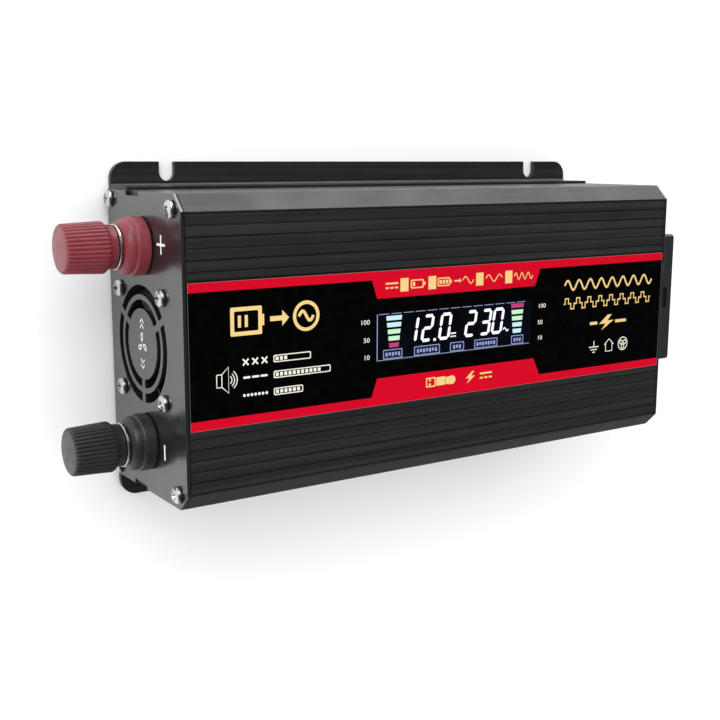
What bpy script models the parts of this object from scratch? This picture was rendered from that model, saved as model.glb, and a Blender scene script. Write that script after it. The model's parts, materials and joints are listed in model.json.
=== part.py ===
"""Power inverter: two-part extruded case, end panels, battery posts, fan, outlet and electronics.

Metres, +Z up. The origin is the centre of the mounting face. +X runs from the battery end to the
outlet end, and the label faces up.
"""

import math

import bmesh
import bpy
from mathutils import Matrix, Vector

# Case
LENGTH = 0.2020  # over the two end panels
WIDTH = 0.0940
HEIGHT = 0.0570
CHAMFER = 0.0050
PANEL = 0.0010  # end panel thickness
GAP = 0.0003  # between touching pieces
SEAM_Z = 0.0150  # where the cover meets the base
COVER_WALL = 0.0018
COVER_ROOF = 0.0022
BASE_WALL = 0.0018
BASE_SIDE = 0.0023  # thickness of its side walls
BASE_PROUD = 0.0010  # how far those stand outside the cover's
SHELL_LENGTH = LENGTH - 2 * (PANEL + GAP)
END_X = LENGTH / 2
GROOVE_FIRST = 0.0246
GROOVE_PITCH = 0.00336
GROOVE_COUNT = 6
GROOVE_WIDTH = 0.0007
GROOVE_DEPTH = 0.0005

# Mounting flanges
FLANGE_HALF_WIDTH = 0.0557
FLANGE_CORNER = 0.0055
SLOT_X = 0.0800
SLOT_WIDTH = 0.0055
SLOT_DEPTH = 0.0063

# Screw ports, M3
PORT_TOP = (0.0425, 0.0510)  # Y and Z of the cover's port on the +Y side
PORT_LOW = (0.0440, 0.0045)  # and of the base's
PORT_RADIUS = 0.0028
PORT_BORE = 0.0019
SCREW_RADIUS = 0.0015
SCREW_HOLE_RADIUS = 0.0017
SCREW_HEAD_RADIUS = 0.0027
SCREW_HEAD_HEIGHT = 0.0017
SCREW_LENGTH = 0.0080

# End panel edges
PANEL_LOW_Z = 0.0023
NOTCH_Z = (0.0173, 0.0270)
NOTCH_DEPTH = 0.0015

# Label and display
LABEL_LENGTH = 0.1992
LABEL_WIDTH = 0.0440
LABEL_Y = -0.0003
LABEL_THICKNESS = 0.0005
LABEL_RECESS = 0.0006
DISPLAY_LENGTH = 0.0670
DISPLAY_WIDTH = 0.0156

# Battery posts
POST_Y = 0.0306
POST_Z = 0.0286
COLLAR_RADIUS = 0.0090
COLLAR_HEIGHT = 0.0082
STUD_RADIUS = 0.0030
STUD_OUTSIDE = 0.0212  # from the panel's outer face
STUD_INSIDE = 0.0100
KNOB_RADIUS = 0.0079  # at its shoulder
KNOB_TIP_RADIUS = 0.0074
KNOB_NECK_RADIUS = 0.0067
KNOB_SHOULDER = 0.0127  # height above the panel at which the knob narrows
KNOB_TIP = 0.0258
KNOB_FLUTES = 36
KNOB_GROOVE_RADIUS = 0.0072
WASHER_RADIUS = 0.0069
WASHER_THICKNESS = 0.0008
THREAD_CLEARANCE = 0.0004
POST_INSIDE = PANEL + 0.0008 + GAP  # from the panel's outer face to the lug
LUG_THICKNESS = 0.0012
CABLE_RADIUS = 0.0020

# Fan
FAN_Z = 0.0268
FAN_SIZE = 0.0400
FAN_DEPTH = 0.0100
FAN_SCREW_PITCH = 0.0320
FAN_BORE_RADIUS = 0.0190
FAN_BLADES = 7
GRILLE_RINGS = ((0.0156, 0.0185), (0.0112, 0.0139))
GRILLE_SPOKES = (30, 150, 270)  # degrees, from +Z towards +Y
GRILLE_SPOKE_WIDTH = 0.0022

# Outlet
OUTLET_Y = 0.0033
OUTLET_Z = 0.0285
OUTLET_SIZE = 0.0494
OUTLET_BODY = 0.0430
OUTLET_STANDS_OUT = 0.0095
OUTLET_BACK_X = 0.0800
RECESS_RADIUS = 0.0195
RECESS_DEPTH = 0.0030
PIN_OFFSET = 0.0090
PIN_Z = 0.0020  # above the outlet's centre
EARTH_Z = -0.0095

# Power switch and USB port
SWITCH_Y = -0.0340
SWITCH_Z = 0.0300
SWITCH_BEZEL = (0.0150, 0.0210)
SWITCH_BODY = (0.0126, 0.0186)
SWITCH_AXIS_X = END_X + 0.0004
SWITCH_TILT = 10  # degrees either side of level
USB_Y = 0.0372
USB_Z = 0.0285
USB_OPENING = (0.0057, 0.0131)

# Main board and what stands on it
BOARD_Z = 0.0086
BOARD_THICKNESS = 0.0016
BOARD_X = (-0.0860, 0.0760)
BOARD_TOP = BOARD_Z + BOARD_THICKNESS + GAP

# Rotations that lay local Z along an axis of the object
ALONG_LENGTH = (math.radians(90), 0, math.radians(90))  # local X, Y, Z to +Y, +Z, +X
OUT_OF_BATTERY_END = (0, math.radians(-90), 0)
OUT_OF_OUTLET_END = (0, math.radians(90), 0)
LEVEL = (0, 0, 0)

PARTS = "power_inverter"
CUTTERS = "cutters"

FINISHES = {
    "black_aluminium": ((0.022, 0.023, 0.025), 0.45, 0.6),
    "grey_steel": ((0.14, 0.14, 0.145), 0.42, 0.7),
    "label_film": ((0.004, 0.004, 0.005), 0.20, 0.0),
    "clear_plastic": ((0.03, 0.04, 0.07), 0.08, 0.0),
    "display_glass": ((0.01, 0.015, 0.04), 0.10, 0.0),
    "bright_nickel": ((0.75, 0.75, 0.73), 0.25, 1.0),
    "red_plastic": ((0.26, 0.03, 0.045), 0.40, 0.0),
    "black_plastic": ((0.025, 0.026, 0.028), 0.45, 0.0),
    "brass": ((0.70, 0.50, 0.20), 0.30, 1.0),
    "circuit_board": ((0.02, 0.12, 0.05), 0.50, 0.0),
    "ferrite": ((0.05, 0.05, 0.05), 0.80, 0.0),
    "yellow_tape": ((0.75, 0.55, 0.08), 0.55, 0.0),
    "capacitor_sleeve": ((0.02, 0.03, 0.10), 0.35, 0.0),
    "white_plastic": ((0.80, 0.80, 0.78), 0.45, 0.0),
    "copper": ((0.75, 0.32, 0.18), 0.35, 1.0),
}


# Scene, materials and placing


def clear_scene():
    for obj in list(bpy.data.objects):
        bpy.data.objects.remove(obj, do_unlink=True)


def new_collection(name, hidden=False):
    collection = bpy.data.collections.new(name)
    collection.hide_render = hidden
    bpy.context.scene.collection.children.link(collection)
    return collection


def material_for(part_name, finish):
    colour, roughness, metallic = FINISHES[finish]
    material = bpy.data.materials.new(part_name)
    material.use_nodes = True
    shader = material.node_tree.nodes["Principled BSDF"]
    shader.inputs["Base Color"].default_value = (*colour, 1)
    shader.inputs["Roughness"].default_value = roughness
    shader.inputs["Metallic"].default_value = metallic
    return material


def place(obj, location=(0, 0, 0), rotation=LEVEL):
    obj.location = location
    obj.rotation_euler = rotation
    return obj


def as_part(obj, name, finish):
    obj.name = name
    obj.data.name = name
    obj.data.materials.clear()
    obj.data.materials.append(material_for(name, finish))
    obj.data.shade_smooth()
    obj.data.set_sharp_from_angle(angle=math.radians(35))
    bpy.data.collections[PARTS].objects.link(obj)
    return obj


def as_cutter(obj, name):
    obj.name = name
    obj.hide_render = True
    obj.display_type = "WIRE"
    bpy.data.collections[CUTTERS].objects.link(obj)
    return obj


def boolean(obj, other, operation):
    modifier = obj.modifiers.new(other.name, "BOOLEAN")
    modifier.operation = operation
    modifier.solver = "EXACT"
    modifier.object = other
    return obj


def cut(obj, cutter):
    return boolean(obj, cutter, "DIFFERENCE")


def join(obj, other):
    return boolean(obj, other, "UNION")


def round_edges(obj, width, segments=2, angle=50):
    bevel = obj.modifiers.new("round_edges", "BEVEL")
    bevel.width = width
    bevel.segments = segments
    bevel.limit_method = "ANGLE"
    bevel.angle_limit = math.radians(angle)
    return obj


# Outlines: lists of (x, y) points


def arc(centre, radius, start, end, segments):
    """Points on an arc, with angles in degrees from the first axis."""
    steps = [start + (end - start) * i / segments for i in range(segments + 1)]
    return [
        (centre[0] + radius * math.cos(a), centre[1] + radius * math.sin(a))
        for a in map(math.radians, steps)
    ]


def circle(centre, radius, segments=24):
    return arc(centre, radius, 0, 360, segments)[:-1]


def rectangle(centre, width, height, corner=0.0, segments=3):
    """A rectangle, with corners rounded where corner isn't zero."""
    x, y = width / 2 - corner, height / 2 - corner
    centres = ((x, y, 0), (-x, y, 90), (-x, -y, 180), (x, -y, 270))
    if not corner:
        return [(centre[0] + cx, centre[1] + cy) for cx, cy, _ in centres]
    points = []
    for cx, cy, start in centres:
        points += arc((centre[0] + cx, centre[1] + cy), corner, start, start + 90, segments)
    return points


def mirrored(points):
    """The points, then their mirror images in the first axis, in the order that goes on round."""
    return points + [(-x, y) for x, y in reversed(points)]


# Solids


def plate(outlines, thickness):
    """A mesh object of flat outlines, the first the rim and the rest holes, along local Z."""
    curve = bpy.data.curves.new("outline", "CURVE")
    curve.dimensions = "2D"
    curve.fill_mode = "BOTH"
    curve.extrude = thickness / 2
    for outline in outlines:
        spline = curve.splines.new("POLY")
        spline.points.add(len(outline) - 1)
        for point, (x, y) in zip(spline.points, outline):
            point.co = (x, y, 0, 1)
        spline.use_cyclic_u = True
    guide = bpy.data.objects.new("outline", curve)
    bpy.context.scene.collection.objects.link(guide)
    solid = meshed(guide)
    bpy.data.objects.remove(guide)
    bpy.data.curves.remove(curve)
    return solid


def meshed(guide):
    """A new mesh object with the evaluated shape of a curve object, and its caps welded."""
    bpy.context.view_layer.update()
    graph = bpy.context.evaluated_depsgraph_get()
    mesh = bpy.data.meshes.new_from_object(guide.evaluated_get(graph))
    shape = bmesh.new()
    shape.from_mesh(mesh)
    bmesh.ops.remove_doubles(shape, verts=shape.verts, dist=1e-6)
    bmesh.ops.recalc_face_normals(shape, faces=shape.faces)
    shape.to_mesh(mesh)
    shape.free()
    return bpy.data.objects.new("piece", mesh)


def block(size, centre=(0, 0, 0)):
    shape = bmesh.new()
    bmesh.ops.create_cube(shape, size=1)
    bmesh.ops.scale(shape, vec=size, verts=shape.verts)
    bmesh.ops.translate(shape, vec=centre, verts=shape.verts)
    mesh = bpy.data.meshes.new("block")
    shape.to_mesh(mesh)
    shape.free()
    return bpy.data.objects.new("piece", mesh)


def turned(profile, steps=24, closed=False):
    """A body of revolution about local Z. The profile's (radius, height) points run down its outside."""
    mesh = bpy.data.meshes.new("profile")
    edges = [(i, i + 1) for i in range(len(profile) - 1)]
    if closed:
        edges.append((len(profile) - 1, 0))
    mesh.from_pydata([(r, 0, z) for r, z in profile], edges, [])
    obj = bpy.data.objects.new("piece", mesh)
    screw = obj.modifiers.new("turn", "SCREW")
    screw.steps = screw.render_steps = steps
    screw.use_merge_vertices = True
    screw.merge_threshold = 1e-6
    return obj


def rod(radius, low, high, steps=24):
    return turned([(0, high), (radius, high), (radius, low), (0, low)], steps)


def tube(outer, inner, low, high, steps=24):
    return turned([(outer, high), (outer, low), (inner, low), (inner, high)], steps, closed=True)


def wire(points, radius):
    """A round wire through the points, as a mesh object."""
    curve = bpy.data.curves.new("wire", "CURVE")
    curve.dimensions = "3D"
    curve.bevel_depth = radius
    curve.bevel_resolution = 2
    curve.use_fill_caps = True
    spline = curve.splines.new("POLY")
    spline.points.add(len(points) - 1)
    for point, co in zip(spline.points, points):
        point.co = (*co, 1)
    guide = bpy.data.objects.new("wire", curve)
    bpy.context.scene.collection.objects.link(guide)
    solid = meshed(guide)
    bpy.data.objects.remove(guide)
    bpy.data.curves.remove(curve)
    return solid


def smooth_path(anchors, segments=6):
    """Points on a quadratic curve that bends near each inner anchor."""
    path = [Vector(anchors[0])]
    for before, corner, after in zip(anchors, anchors[1:], anchors[2:]):
        start = (Vector(before) + Vector(corner)) / 2 if before is not anchors[0] else Vector(before)
        end = (Vector(corner) + Vector(after)) / 2 if after is not anchors[-1] else Vector(after)
        for i in range(1, segments + 1):
            t = i / segments
            path.append(start * (1 - t) ** 2 + Vector(corner) * 2 * t * (1 - t) + end * t**2)
    return path


# Case


def groove_edges():
    """The top edge of the cover from the label's recess to the chamfer, with its grooves."""
    half_recess = LABEL_WIDTH / 2 + GAP
    points = [(half_recess, HEIGHT - LABEL_RECESS), (half_recess, HEIGHT)]
    for i in range(GROOVE_COUNT):
        y = GROOVE_FIRST + i * GROOVE_PITCH
        points += [
            (y - GROOVE_WIDTH / 2, HEIGHT),
            (y - GROOVE_WIDTH / 4, HEIGHT - GROOVE_DEPTH),
            (y + GROOVE_WIDTH / 4, HEIGHT - GROOVE_DEPTH),
            (y + GROOVE_WIDTH / 2, HEIGHT),
        ]
    return points


def port_bores(port):
    """The bores of the two ports, one on each side, that the end panel screws run into."""
    return [circle((side * port[0], port[1]), PORT_BORE, 12) for side in (1, -1)]


def cover_outline():
    half = WIDTH / 2
    inner = half - COVER_WALL
    roof = HEIGHT - COVER_ROOF
    diagonal = half + HEIGHT - CHAMFER - COVER_WALL * math.sqrt(2)
    wall_angle = -math.degrees(math.acos((inner - PORT_TOP[0]) / PORT_RADIUS))
    reach = (diagonal - sum(PORT_TOP)) / math.sqrt(2)
    chamfer_angle = 45 + math.degrees(math.acos(reach / PORT_RADIUS)) - 360
    inside = [(inner, SEAM_Z + GAP)]
    inside += arc(PORT_TOP, PORT_RADIUS, wall_angle, chamfer_angle, 8)
    inside += [(diagonal - roof, roof)]
    outside = groove_edges() + [(half - CHAMFER, HEIGHT), (half, HEIGHT - CHAMFER), (half, SEAM_Z + GAP)]
    right = outside + inside
    return mirrored(right)


def make_cover():
    outline = cover_outline()
    bores = port_bores(PORT_TOP)
    cover = place(plate([outline] + bores, SHELL_LENGTH), rotation=ALONG_LENGTH)
    opening = block((DISPLAY_LENGTH + 0.001, DISPLAY_WIDTH + 0.001, 0.01), (0, 0, HEIGHT))
    cut(cover, as_cutter(opening, "display_opening_cutter"))
    return as_part(cover, "top_cover", "black_aluminium")


def base_outline():
    half = WIDTH / 2 + BASE_PROUD
    inner = half - BASE_SIDE
    ridge_z = BOARD_Z + BOARD_THICKNESS + GAP
    ridge = 0.0012
    wall_angle = math.degrees(math.acos((inner - PORT_LOW[0]) / PORT_RADIUS))
    outside = [(FLANGE_HALF_WIDTH, 0), (FLANGE_HALF_WIDTH, BASE_WALL), (half + 0.0006, BASE_WALL)]
    outside += [(half, BASE_WALL + 0.0006), (half, SEAM_Z)]
    inside = [(inner, SEAM_Z), (inner, ridge_z + ridge), (inner - ridge, ridge_z + ridge)]
    inside += [(inner - ridge, ridge_z), (inner, ridge_z)]
    inside += arc(PORT_LOW, PORT_RADIUS, wall_angle, 180, 7)
    inside += [(PORT_LOW[0] - PORT_RADIUS, BASE_WALL)]
    return mirrored(outside + inside)


def slot_outline(x, side):
    """The plan of one open slot, which runs in from the flange's edge."""
    root = FLANGE_HALF_WIDTH - SLOT_DEPTH + SLOT_WIDTH / 2
    rim = FLANGE_HALF_WIDTH + 0.002
    start = 180 if side > 0 else 0
    curved = arc((x, side * root), SLOT_WIDTH / 2, start, start + 180, 12)
    return curved + [(curved[-1][0], side * rim), (curved[0][0], side * rim)]


def corner_outline(end, side):
    """The plan of what is cut away to round one corner of a flange."""
    x = end * (SHELL_LENGTH / 2 - FLANGE_CORNER)
    y = side * (FLANGE_HALF_WIDTH - FLANGE_CORNER)
    past = 0.002
    curved = [(x + end * px, y + side * py) for px, py in arc((0, 0), FLANGE_CORNER, 0, 90, 8)]
    outer = FLANGE_CORNER + past
    return curved + [(x, y + side * outer), (x + end * outer, y + side * outer), (x + end * outer, y)]


def make_base():
    outline = base_outline()
    bores = port_bores(PORT_LOW)
    base = place(plate([outline] + bores, SHELL_LENGTH), rotation=ALONG_LENGTH)
    plan = [slot_outline(end * SLOT_X, side) for end in (1, -1) for side in (1, -1)]
    plan += [corner_outline(end, side) for end in (1, -1) for side in (1, -1)]
    cutter = place(plate(plan, 0.006), (0, 0, 0.0005))
    cut(base, as_cutter(cutter, "flange_cutter"))
    return as_part(base, "base_extrusion", "black_aluminium")


def panel_outline():
    half = WIDTH / 2
    low, high = NOTCH_Z
    return mirrored(
        [
            (half - CHAMFER, HEIGHT),
            (half, HEIGHT - CHAMFER),
            (half, high),
            (half - NOTCH_DEPTH, high),
            (half - NOTCH_DEPTH, low),
            (half, low),
            (half, PANEL_LOW_Z),
        ]
    )


def port_places():
    return [(side * y, z) for y, z in (PORT_TOP, PORT_LOW) for side in (1, -1)]


def fan_screw_places():
    half = FAN_SCREW_PITCH / 2
    return [(y, FAN_Z + z) for z in (half, -half) for y in (half, -half)]


def grille_slot(inner, outer, start, end):
    """One curved slot between two spokes, whose sides stay parallel."""
    half = GRILLE_SPOKE_WIDTH / 2

    def edge(radius):
        return math.degrees(math.asin(half / radius))

    out = arc((0, 0), outer, start + edge(outer), end - edge(outer), 10)
    back = arc((0, 0), inner, end - edge(inner), start + edge(inner), 8)
    return [(sideways, FAN_Z + up) for up, sideways in out + back]


def grille_slots():
    slots = []
    for inner, outer in GRILLE_RINGS:
        for i, start in enumerate(GRILLE_SPOKES):
            end = GRILLE_SPOKES[(i + 1) % 3] + (360 if i == 2 else 0)
            slots.append(grille_slot(inner, outer, start, end))
    return slots


def make_battery_panel():
    holes = [circle(at, SCREW_HOLE_RADIUS, 12) for at in port_places() + fan_screw_places()]
    holes += [circle((side * POST_Y, POST_Z), 0.0052) for side in (1, -1)]
    panel = plate([panel_outline()] + holes + grille_slots(), PANEL)
    place(panel, (-END_X + PANEL / 2, 0, 0), ALONG_LENGTH)
    return as_part(panel, "dc_end_panel", "grey_steel")


def make_outlet_panel():
    holes = [circle(at, SCREW_HOLE_RADIUS, 12) for at in port_places()]
    holes.append(rectangle((OUTLET_Y, OUTLET_Z), OUTLET_BODY + 0.0006, OUTLET_BODY + 0.0006))
    holes.append(rectangle((SWITCH_Y, SWITCH_Z), SWITCH_BODY[0] + 0.0006, SWITCH_BODY[1] + 0.0006))
    holes.append(rectangle((USB_Y, USB_Z), USB_OPENING[0] + 0.0010, USB_OPENING[1] + 0.0010))
    panel = plate([panel_outline()] + holes, PANEL)
    place(panel, (END_X - PANEL / 2, 0, 0), ALONG_LENGTH)
    return as_part(panel, "ac_end_panel", "grey_steel")


def screw_shape(length):
    """A pan-head machine screw with a cross recess. Its head sits on local Z = 0."""
    top = SCREW_HEAD_HEIGHT + GAP
    profile = [(0, top), (0.0016, top - 0.0002), (SCREW_HEAD_RADIUS - 0.0003, top - 0.0009)]
    profile += [(SCREW_HEAD_RADIUS, GAP), (SCREW_RADIUS, GAP), (SCREW_RADIUS, -length), (0, -length)]
    screw = turned(profile, 12)
    arm = 0.0026
    cross = [((arm, 0.0006, 0.0018), (0, 0, top)), ((0.0006, arm, 0.0018), (0, 0, top))]
    return screw, cross


def make_screw(name, x, y, z, rotation, length=SCREW_LENGTH):
    screw, cross = screw_shape(length)
    place(screw, (x, y, z), rotation)
    for index, (size, centre) in enumerate(cross):
        cutter = place(block(size, centre), (x, y, z), rotation)
        cut(screw, as_cutter(cutter, f"{name}_recess_{index + 1}"))
    return as_part(screw, name, "bright_nickel")


def make_case_screws():
    for index, (y, z) in enumerate(port_places()):
        make_screw(f"dc_panel_screw_{index + 1}", -END_X, y, z, OUT_OF_BATTERY_END)
        make_screw(f"ac_panel_screw_{index + 1}", END_X, y, z, OUT_OF_OUTLET_END)


# Label and display


def make_label():
    window = rectangle((0, -LABEL_Y), DISPLAY_LENGTH, DISPLAY_WIDTH)
    label = plate([rectangle((0, 0), LABEL_LENGTH, LABEL_WIDTH, 0.0008), window], LABEL_THICKNESS)
    height = HEIGHT - LABEL_RECESS + GAP + LABEL_THICKNESS / 2
    return as_part(place(label, (0, LABEL_Y, height)), "label_overlay", "label_film")


def make_display():
    lens = plate([rectangle((0, 0), DISPLAY_LENGTH - 2 * GAP, DISPLAY_WIDTH - 2 * GAP)], 0.0018)
    as_part(place(lens, (0, 0, HEIGHT - 0.0009)), "display_window", "clear_plastic")
    under_roof = HEIGHT - COVER_ROOF - GAP
    module = round_edges(block((0.0720, 0.0220, 0.0030)), 0.0004, 1)
    as_part(place(module, (0, 0, under_roof - 0.0015)), "display_module", "display_glass")
    board = plate([rectangle((0, 0), 0.0820, 0.0300, 0.001)], 0.0016)
    place(board, (0, 0, under_roof - 0.0030 - GAP - 0.0008))
    as_part(board, "display_board", "circuit_board")


# Battery posts


def collar_profile():
    """Down the outside of the boot, round its foot to the spigot, and up the bore."""
    bore = STUD_RADIUS + THREAD_CLEARANCE
    shoulder = arc((COLLAR_RADIUS - 0.0031, COLLAR_HEIGHT - 0.0026), 0.0026, 90, 6, 4)
    foot = arc((COLLAR_RADIUS - 0.0010, 0.0039), 0.0010, 70, 0, 2)
    spigot = 0.0048
    return (
        [(bore, COLLAR_HEIGHT)]
        + shoulder
        + foot
        + [(COLLAR_RADIUS, GAP), (spigot, GAP), (spigot, -PANEL - 0.0008), (bore, -PANEL - 0.0008)]
    )


def knob_envelope():
    neck_low = COLLAR_HEIGHT + GAP + WASHER_THICKNESS + GAP
    crown = arc((KNOB_TIP_RADIUS - 0.0012, KNOB_TIP - 0.0014), 0.0012, 75, 0, 3)
    return (
        [(0, KNOB_TIP), (KNOB_TIP_RADIUS - 0.0030, KNOB_TIP - 0.0001)]
        + crown
        + [(KNOB_RADIUS, KNOB_SHOULDER), (KNOB_NECK_RADIUS, KNOB_SHOULDER - 0.0008)]
        + [(KNOB_NECK_RADIUS, neck_low), (0, neck_low)]
    )


def fluted_outline():
    """Ridges and grooves about the knob. The grooves grow shallow where it tapers to its tip."""
    points = []
    for i in range(KNOB_FLUTES):
        for share, reach in ((0.0, KNOB_RADIUS), (0.45, KNOB_RADIUS), (0.72, KNOB_GROOVE_RADIUS)):
            angle = 2 * math.pi * (i + share) / KNOB_FLUTES
            points.append((reach * math.cos(angle), reach * math.sin(angle)))
    return points


def make_knob(name, finish, location):
    low, high = KNOB_SHOULDER - 0.0004, KNOB_TIP + 0.001
    knob = place(turned(knob_envelope(), 36), location, OUT_OF_BATTERY_END)
    flutes = plate([rectangle((0, 0), 0.03, 0.03), fluted_outline()], high - low)
    shift = Vector((-(low + high) / 2, 0, 0))
    place(flutes, Vector(location) + shift, OUT_OF_BATTERY_END)
    cut(knob, as_cutter(flutes, f"{name}_flutes"))
    bore = rod(STUD_RADIUS + THREAD_CLEARANCE, 0.005, STUD_OUTSIDE + 0.001, 16)
    cut(knob, as_cutter(place(bore, location, OUT_OF_BATTERY_END), f"{name}_bore"))
    return as_part(knob, name, finish)


def hex_outline(across_flats):
    return arc((0, 0), across_flats / math.sqrt(3), 0, 360, 6)[:-1]


def lug_outline(radius, neck, reach):
    """A ring lug whose barrel runs along -Y."""
    half = neck / 2
    start = math.degrees(math.asin(half / radius)) - 90
    return arc((0, 0), radius, start, 270 - (start + 90), 16) + [(-half, -reach), (half, -reach)]


def make_post(side, sign, finish):
    """One battery post: boot, stud, clamp washer, knob, inner nut and its cable."""
    location = (-END_X, side * POST_Y, POST_Z)
    clearance = STUD_RADIUS + THREAD_CLEARANCE
    collar = place(turned(collar_profile(), 28, closed=True), location, OUT_OF_BATTERY_END)
    as_part(collar, f"{sign}_collar", finish)
    stud = round_edges(rod(STUD_RADIUS, -STUD_INSIDE, STUD_OUTSIDE, 16), 0.0005, 1)
    as_part(place(stud, location, OUT_OF_BATTERY_END), f"{sign}_stud", "brass")
    low = COLLAR_HEIGHT + GAP
    washer = tube(WASHER_RADIUS, clearance, low, low + WASHER_THICKNESS, 32)
    place(washer, location, OUT_OF_BATTERY_END)
    as_part(washer, f"{sign}_washer", "bright_nickel")
    make_knob(f"{sign}_knob", finish, location)
    make_cable(sign, finish, location)
    nut = plate([hex_outline(0.0100), circle((0, 0), clearance, 16)], 0.0040)
    nut_x = -END_X + POST_INSIDE + LUG_THICKNESS + GAP + 0.0020
    place(nut, (nut_x, location[1], location[2]), OUT_OF_BATTERY_END)
    as_part(nut, f"{sign}_lock_nut", "bright_nickel")


def make_cable(sign, finish, location):
    """A ring lug on the stud, and the lead that runs from it down to the main board."""
    x, y, z = location[0] + POST_INSIDE, location[1], location[2]
    hole = circle((0, 0), STUD_RADIUS + THREAD_CLEARANCE, 16)
    cable = plate([lug_outline(0.0062, 0.0050, 0.0105), hole], LUG_THICKNESS)
    place(cable, (x + LUG_THICKNESS / 2, y, z), (math.radians(90), 0, math.radians(-90)))
    low = BOARD_TOP + CABLE_RADIUS
    down = x + 0.0016
    anchors = [(down, y, z - 0.0070), (down, y, low), (x + 0.0100, y, low), (x + 0.0240, y, low)]
    lead = wire(smooth_path(anchors, 4), CABLE_RADIUS)
    join(cable, as_cutter(lead, f"{sign}_lead"))
    return as_part(cable, f"{sign}_cable", finish)


# Fan


def make_fan_frame():
    rim = rectangle((0, 0), FAN_SIZE, FAN_SIZE, 0.0025)
    half = FAN_SCREW_PITCH / 2
    holes = [circle((y, z), SCREW_HOLE_RADIUS, 12) for y in (half, -half) for z in (half, -half)]
    frame = plate([rim, circle((0, 0), FAN_BORE_RADIUS, 40)] + holes, FAN_DEPTH)
    x = -END_X + PANEL + GAP + FAN_DEPTH / 2
    place(frame, (x, 0, FAN_Z), ALONG_LENGTH)
    back = FAN_DEPTH / 2
    reach = FAN_BORE_RADIUS * 2 + 0.001
    for index, turn in enumerate((20, 80, 140)):
        strut = block((reach, 0.0022, 0.0014), (0, 0, back - 0.0007))
        rotate_mesh(strut, turn)
        place(strut, (x, 0, FAN_Z), ALONG_LENGTH)
        join(frame, as_cutter(strut, f"fan_strut_{index + 1}"))
    hub, sleeve, bore, front = 0.0094, 0.0024, 0.0015, -0.0020
    profile = [(bore, back), (bore, front), (sleeve, front), (sleeve, back - 0.0014)]
    profile += [(hub, back - 0.0014), (hub, back)]
    boss = place(turned(profile, 24, closed=True), (x, 0, FAN_Z), ALONG_LENGTH)
    join(frame, as_cutter(boss, "fan_bearing_tube"))
    return as_part(frame, "fan_frame", "black_plastic")


def rotate_mesh(obj, degrees):
    obj.data.transform(Matrix.Rotation(math.radians(degrees), 4, "Z"))


def fan_blades():
    """All the blades as one mesh: thin plates, pitched about their radial line."""
    root, tip, chord, thickness = 0.0090, 0.0180, 0.0078, 0.0009
    pitch = Matrix.Rotation(math.radians(38), 4, "X")
    shape = bmesh.new()
    for i in range(FAN_BLADES):
        turn = Matrix.Rotation(2 * math.pi * i / FAN_BLADES, 4, "Z")
        out = Matrix.Translation(((root + tip) / 2, 0, 0))
        size = Matrix.Diagonal((tip - root, chord, thickness, 1))
        bmesh.ops.create_cube(shape, size=1, matrix=turn @ out @ pitch @ size)
    mesh = bpy.data.meshes.new("blades")
    shape.to_mesh(mesh)
    shape.free()
    return bpy.data.objects.new("piece", mesh)


def make_fan_rotor():
    x = -END_X + PANEL + GAP + FAN_DEPTH / 2
    front, rim, inside = -0.0042, 0.0030, 0.0086
    shaft = 0.0012
    profile = [(0, front), (0.0092, front), (0.0100, front + 0.0008), (0.0100, rim), (inside, rim)]
    profile += [(inside, front + 0.0012), (shaft, front + 0.0012), (shaft, 0.0030), (0, 0.0030)]
    rotor = place(turned(profile[::-1], 28), (x, 0, FAN_Z), ALONG_LENGTH)
    blades = place(fan_blades(), (x, 0, FAN_Z), ALONG_LENGTH)
    join(rotor, as_cutter(blades, "fan_blades"))
    return as_part(rotor, "fan_rotor", "black_plastic")


def make_fan_stator():
    """The wound core on the bearing tube: a hub with four poles."""
    x = -END_X + PANEL + GAP + FAN_DEPTH / 2
    points = []
    for i in range(4):
        for angle, radius in ((-35, 0.0078), (0, 0.0080), (35, 0.0078), (42, 0.0048)):
            turn = math.radians(90 * i + angle)
            points.append((radius * math.cos(turn), radius * math.sin(turn)))
    stator = plate([points, circle((0, 0), 0.0027, 16)], 0.0034)
    place(stator, (x + 0.0006, 0, FAN_Z), ALONG_LENGTH)
    return as_part(stator, "fan_stator", "copper")


def make_fan():
    make_fan_frame()
    make_fan_rotor()
    make_fan_stator()
    for index, (y, z) in enumerate(fan_screw_places()):
        make_screw(f"fan_screw_{index + 1}", -END_X, y, z, OUT_OF_BATTERY_END, 0.0100)


# Outlet


def pin_opening(side):
    """A keyhole that takes round and flat pins, as (size, centre) boxes in the outlet's plane."""
    return [
        ((0.0300, 0.0080, 0.0050), (0, side * PIN_OFFSET, PIN_Z)),
        ((0.0300, 0.0024, 0.0086), (0, side * (PIN_OFFSET - 0.0026), PIN_Z)),
    ]


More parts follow.
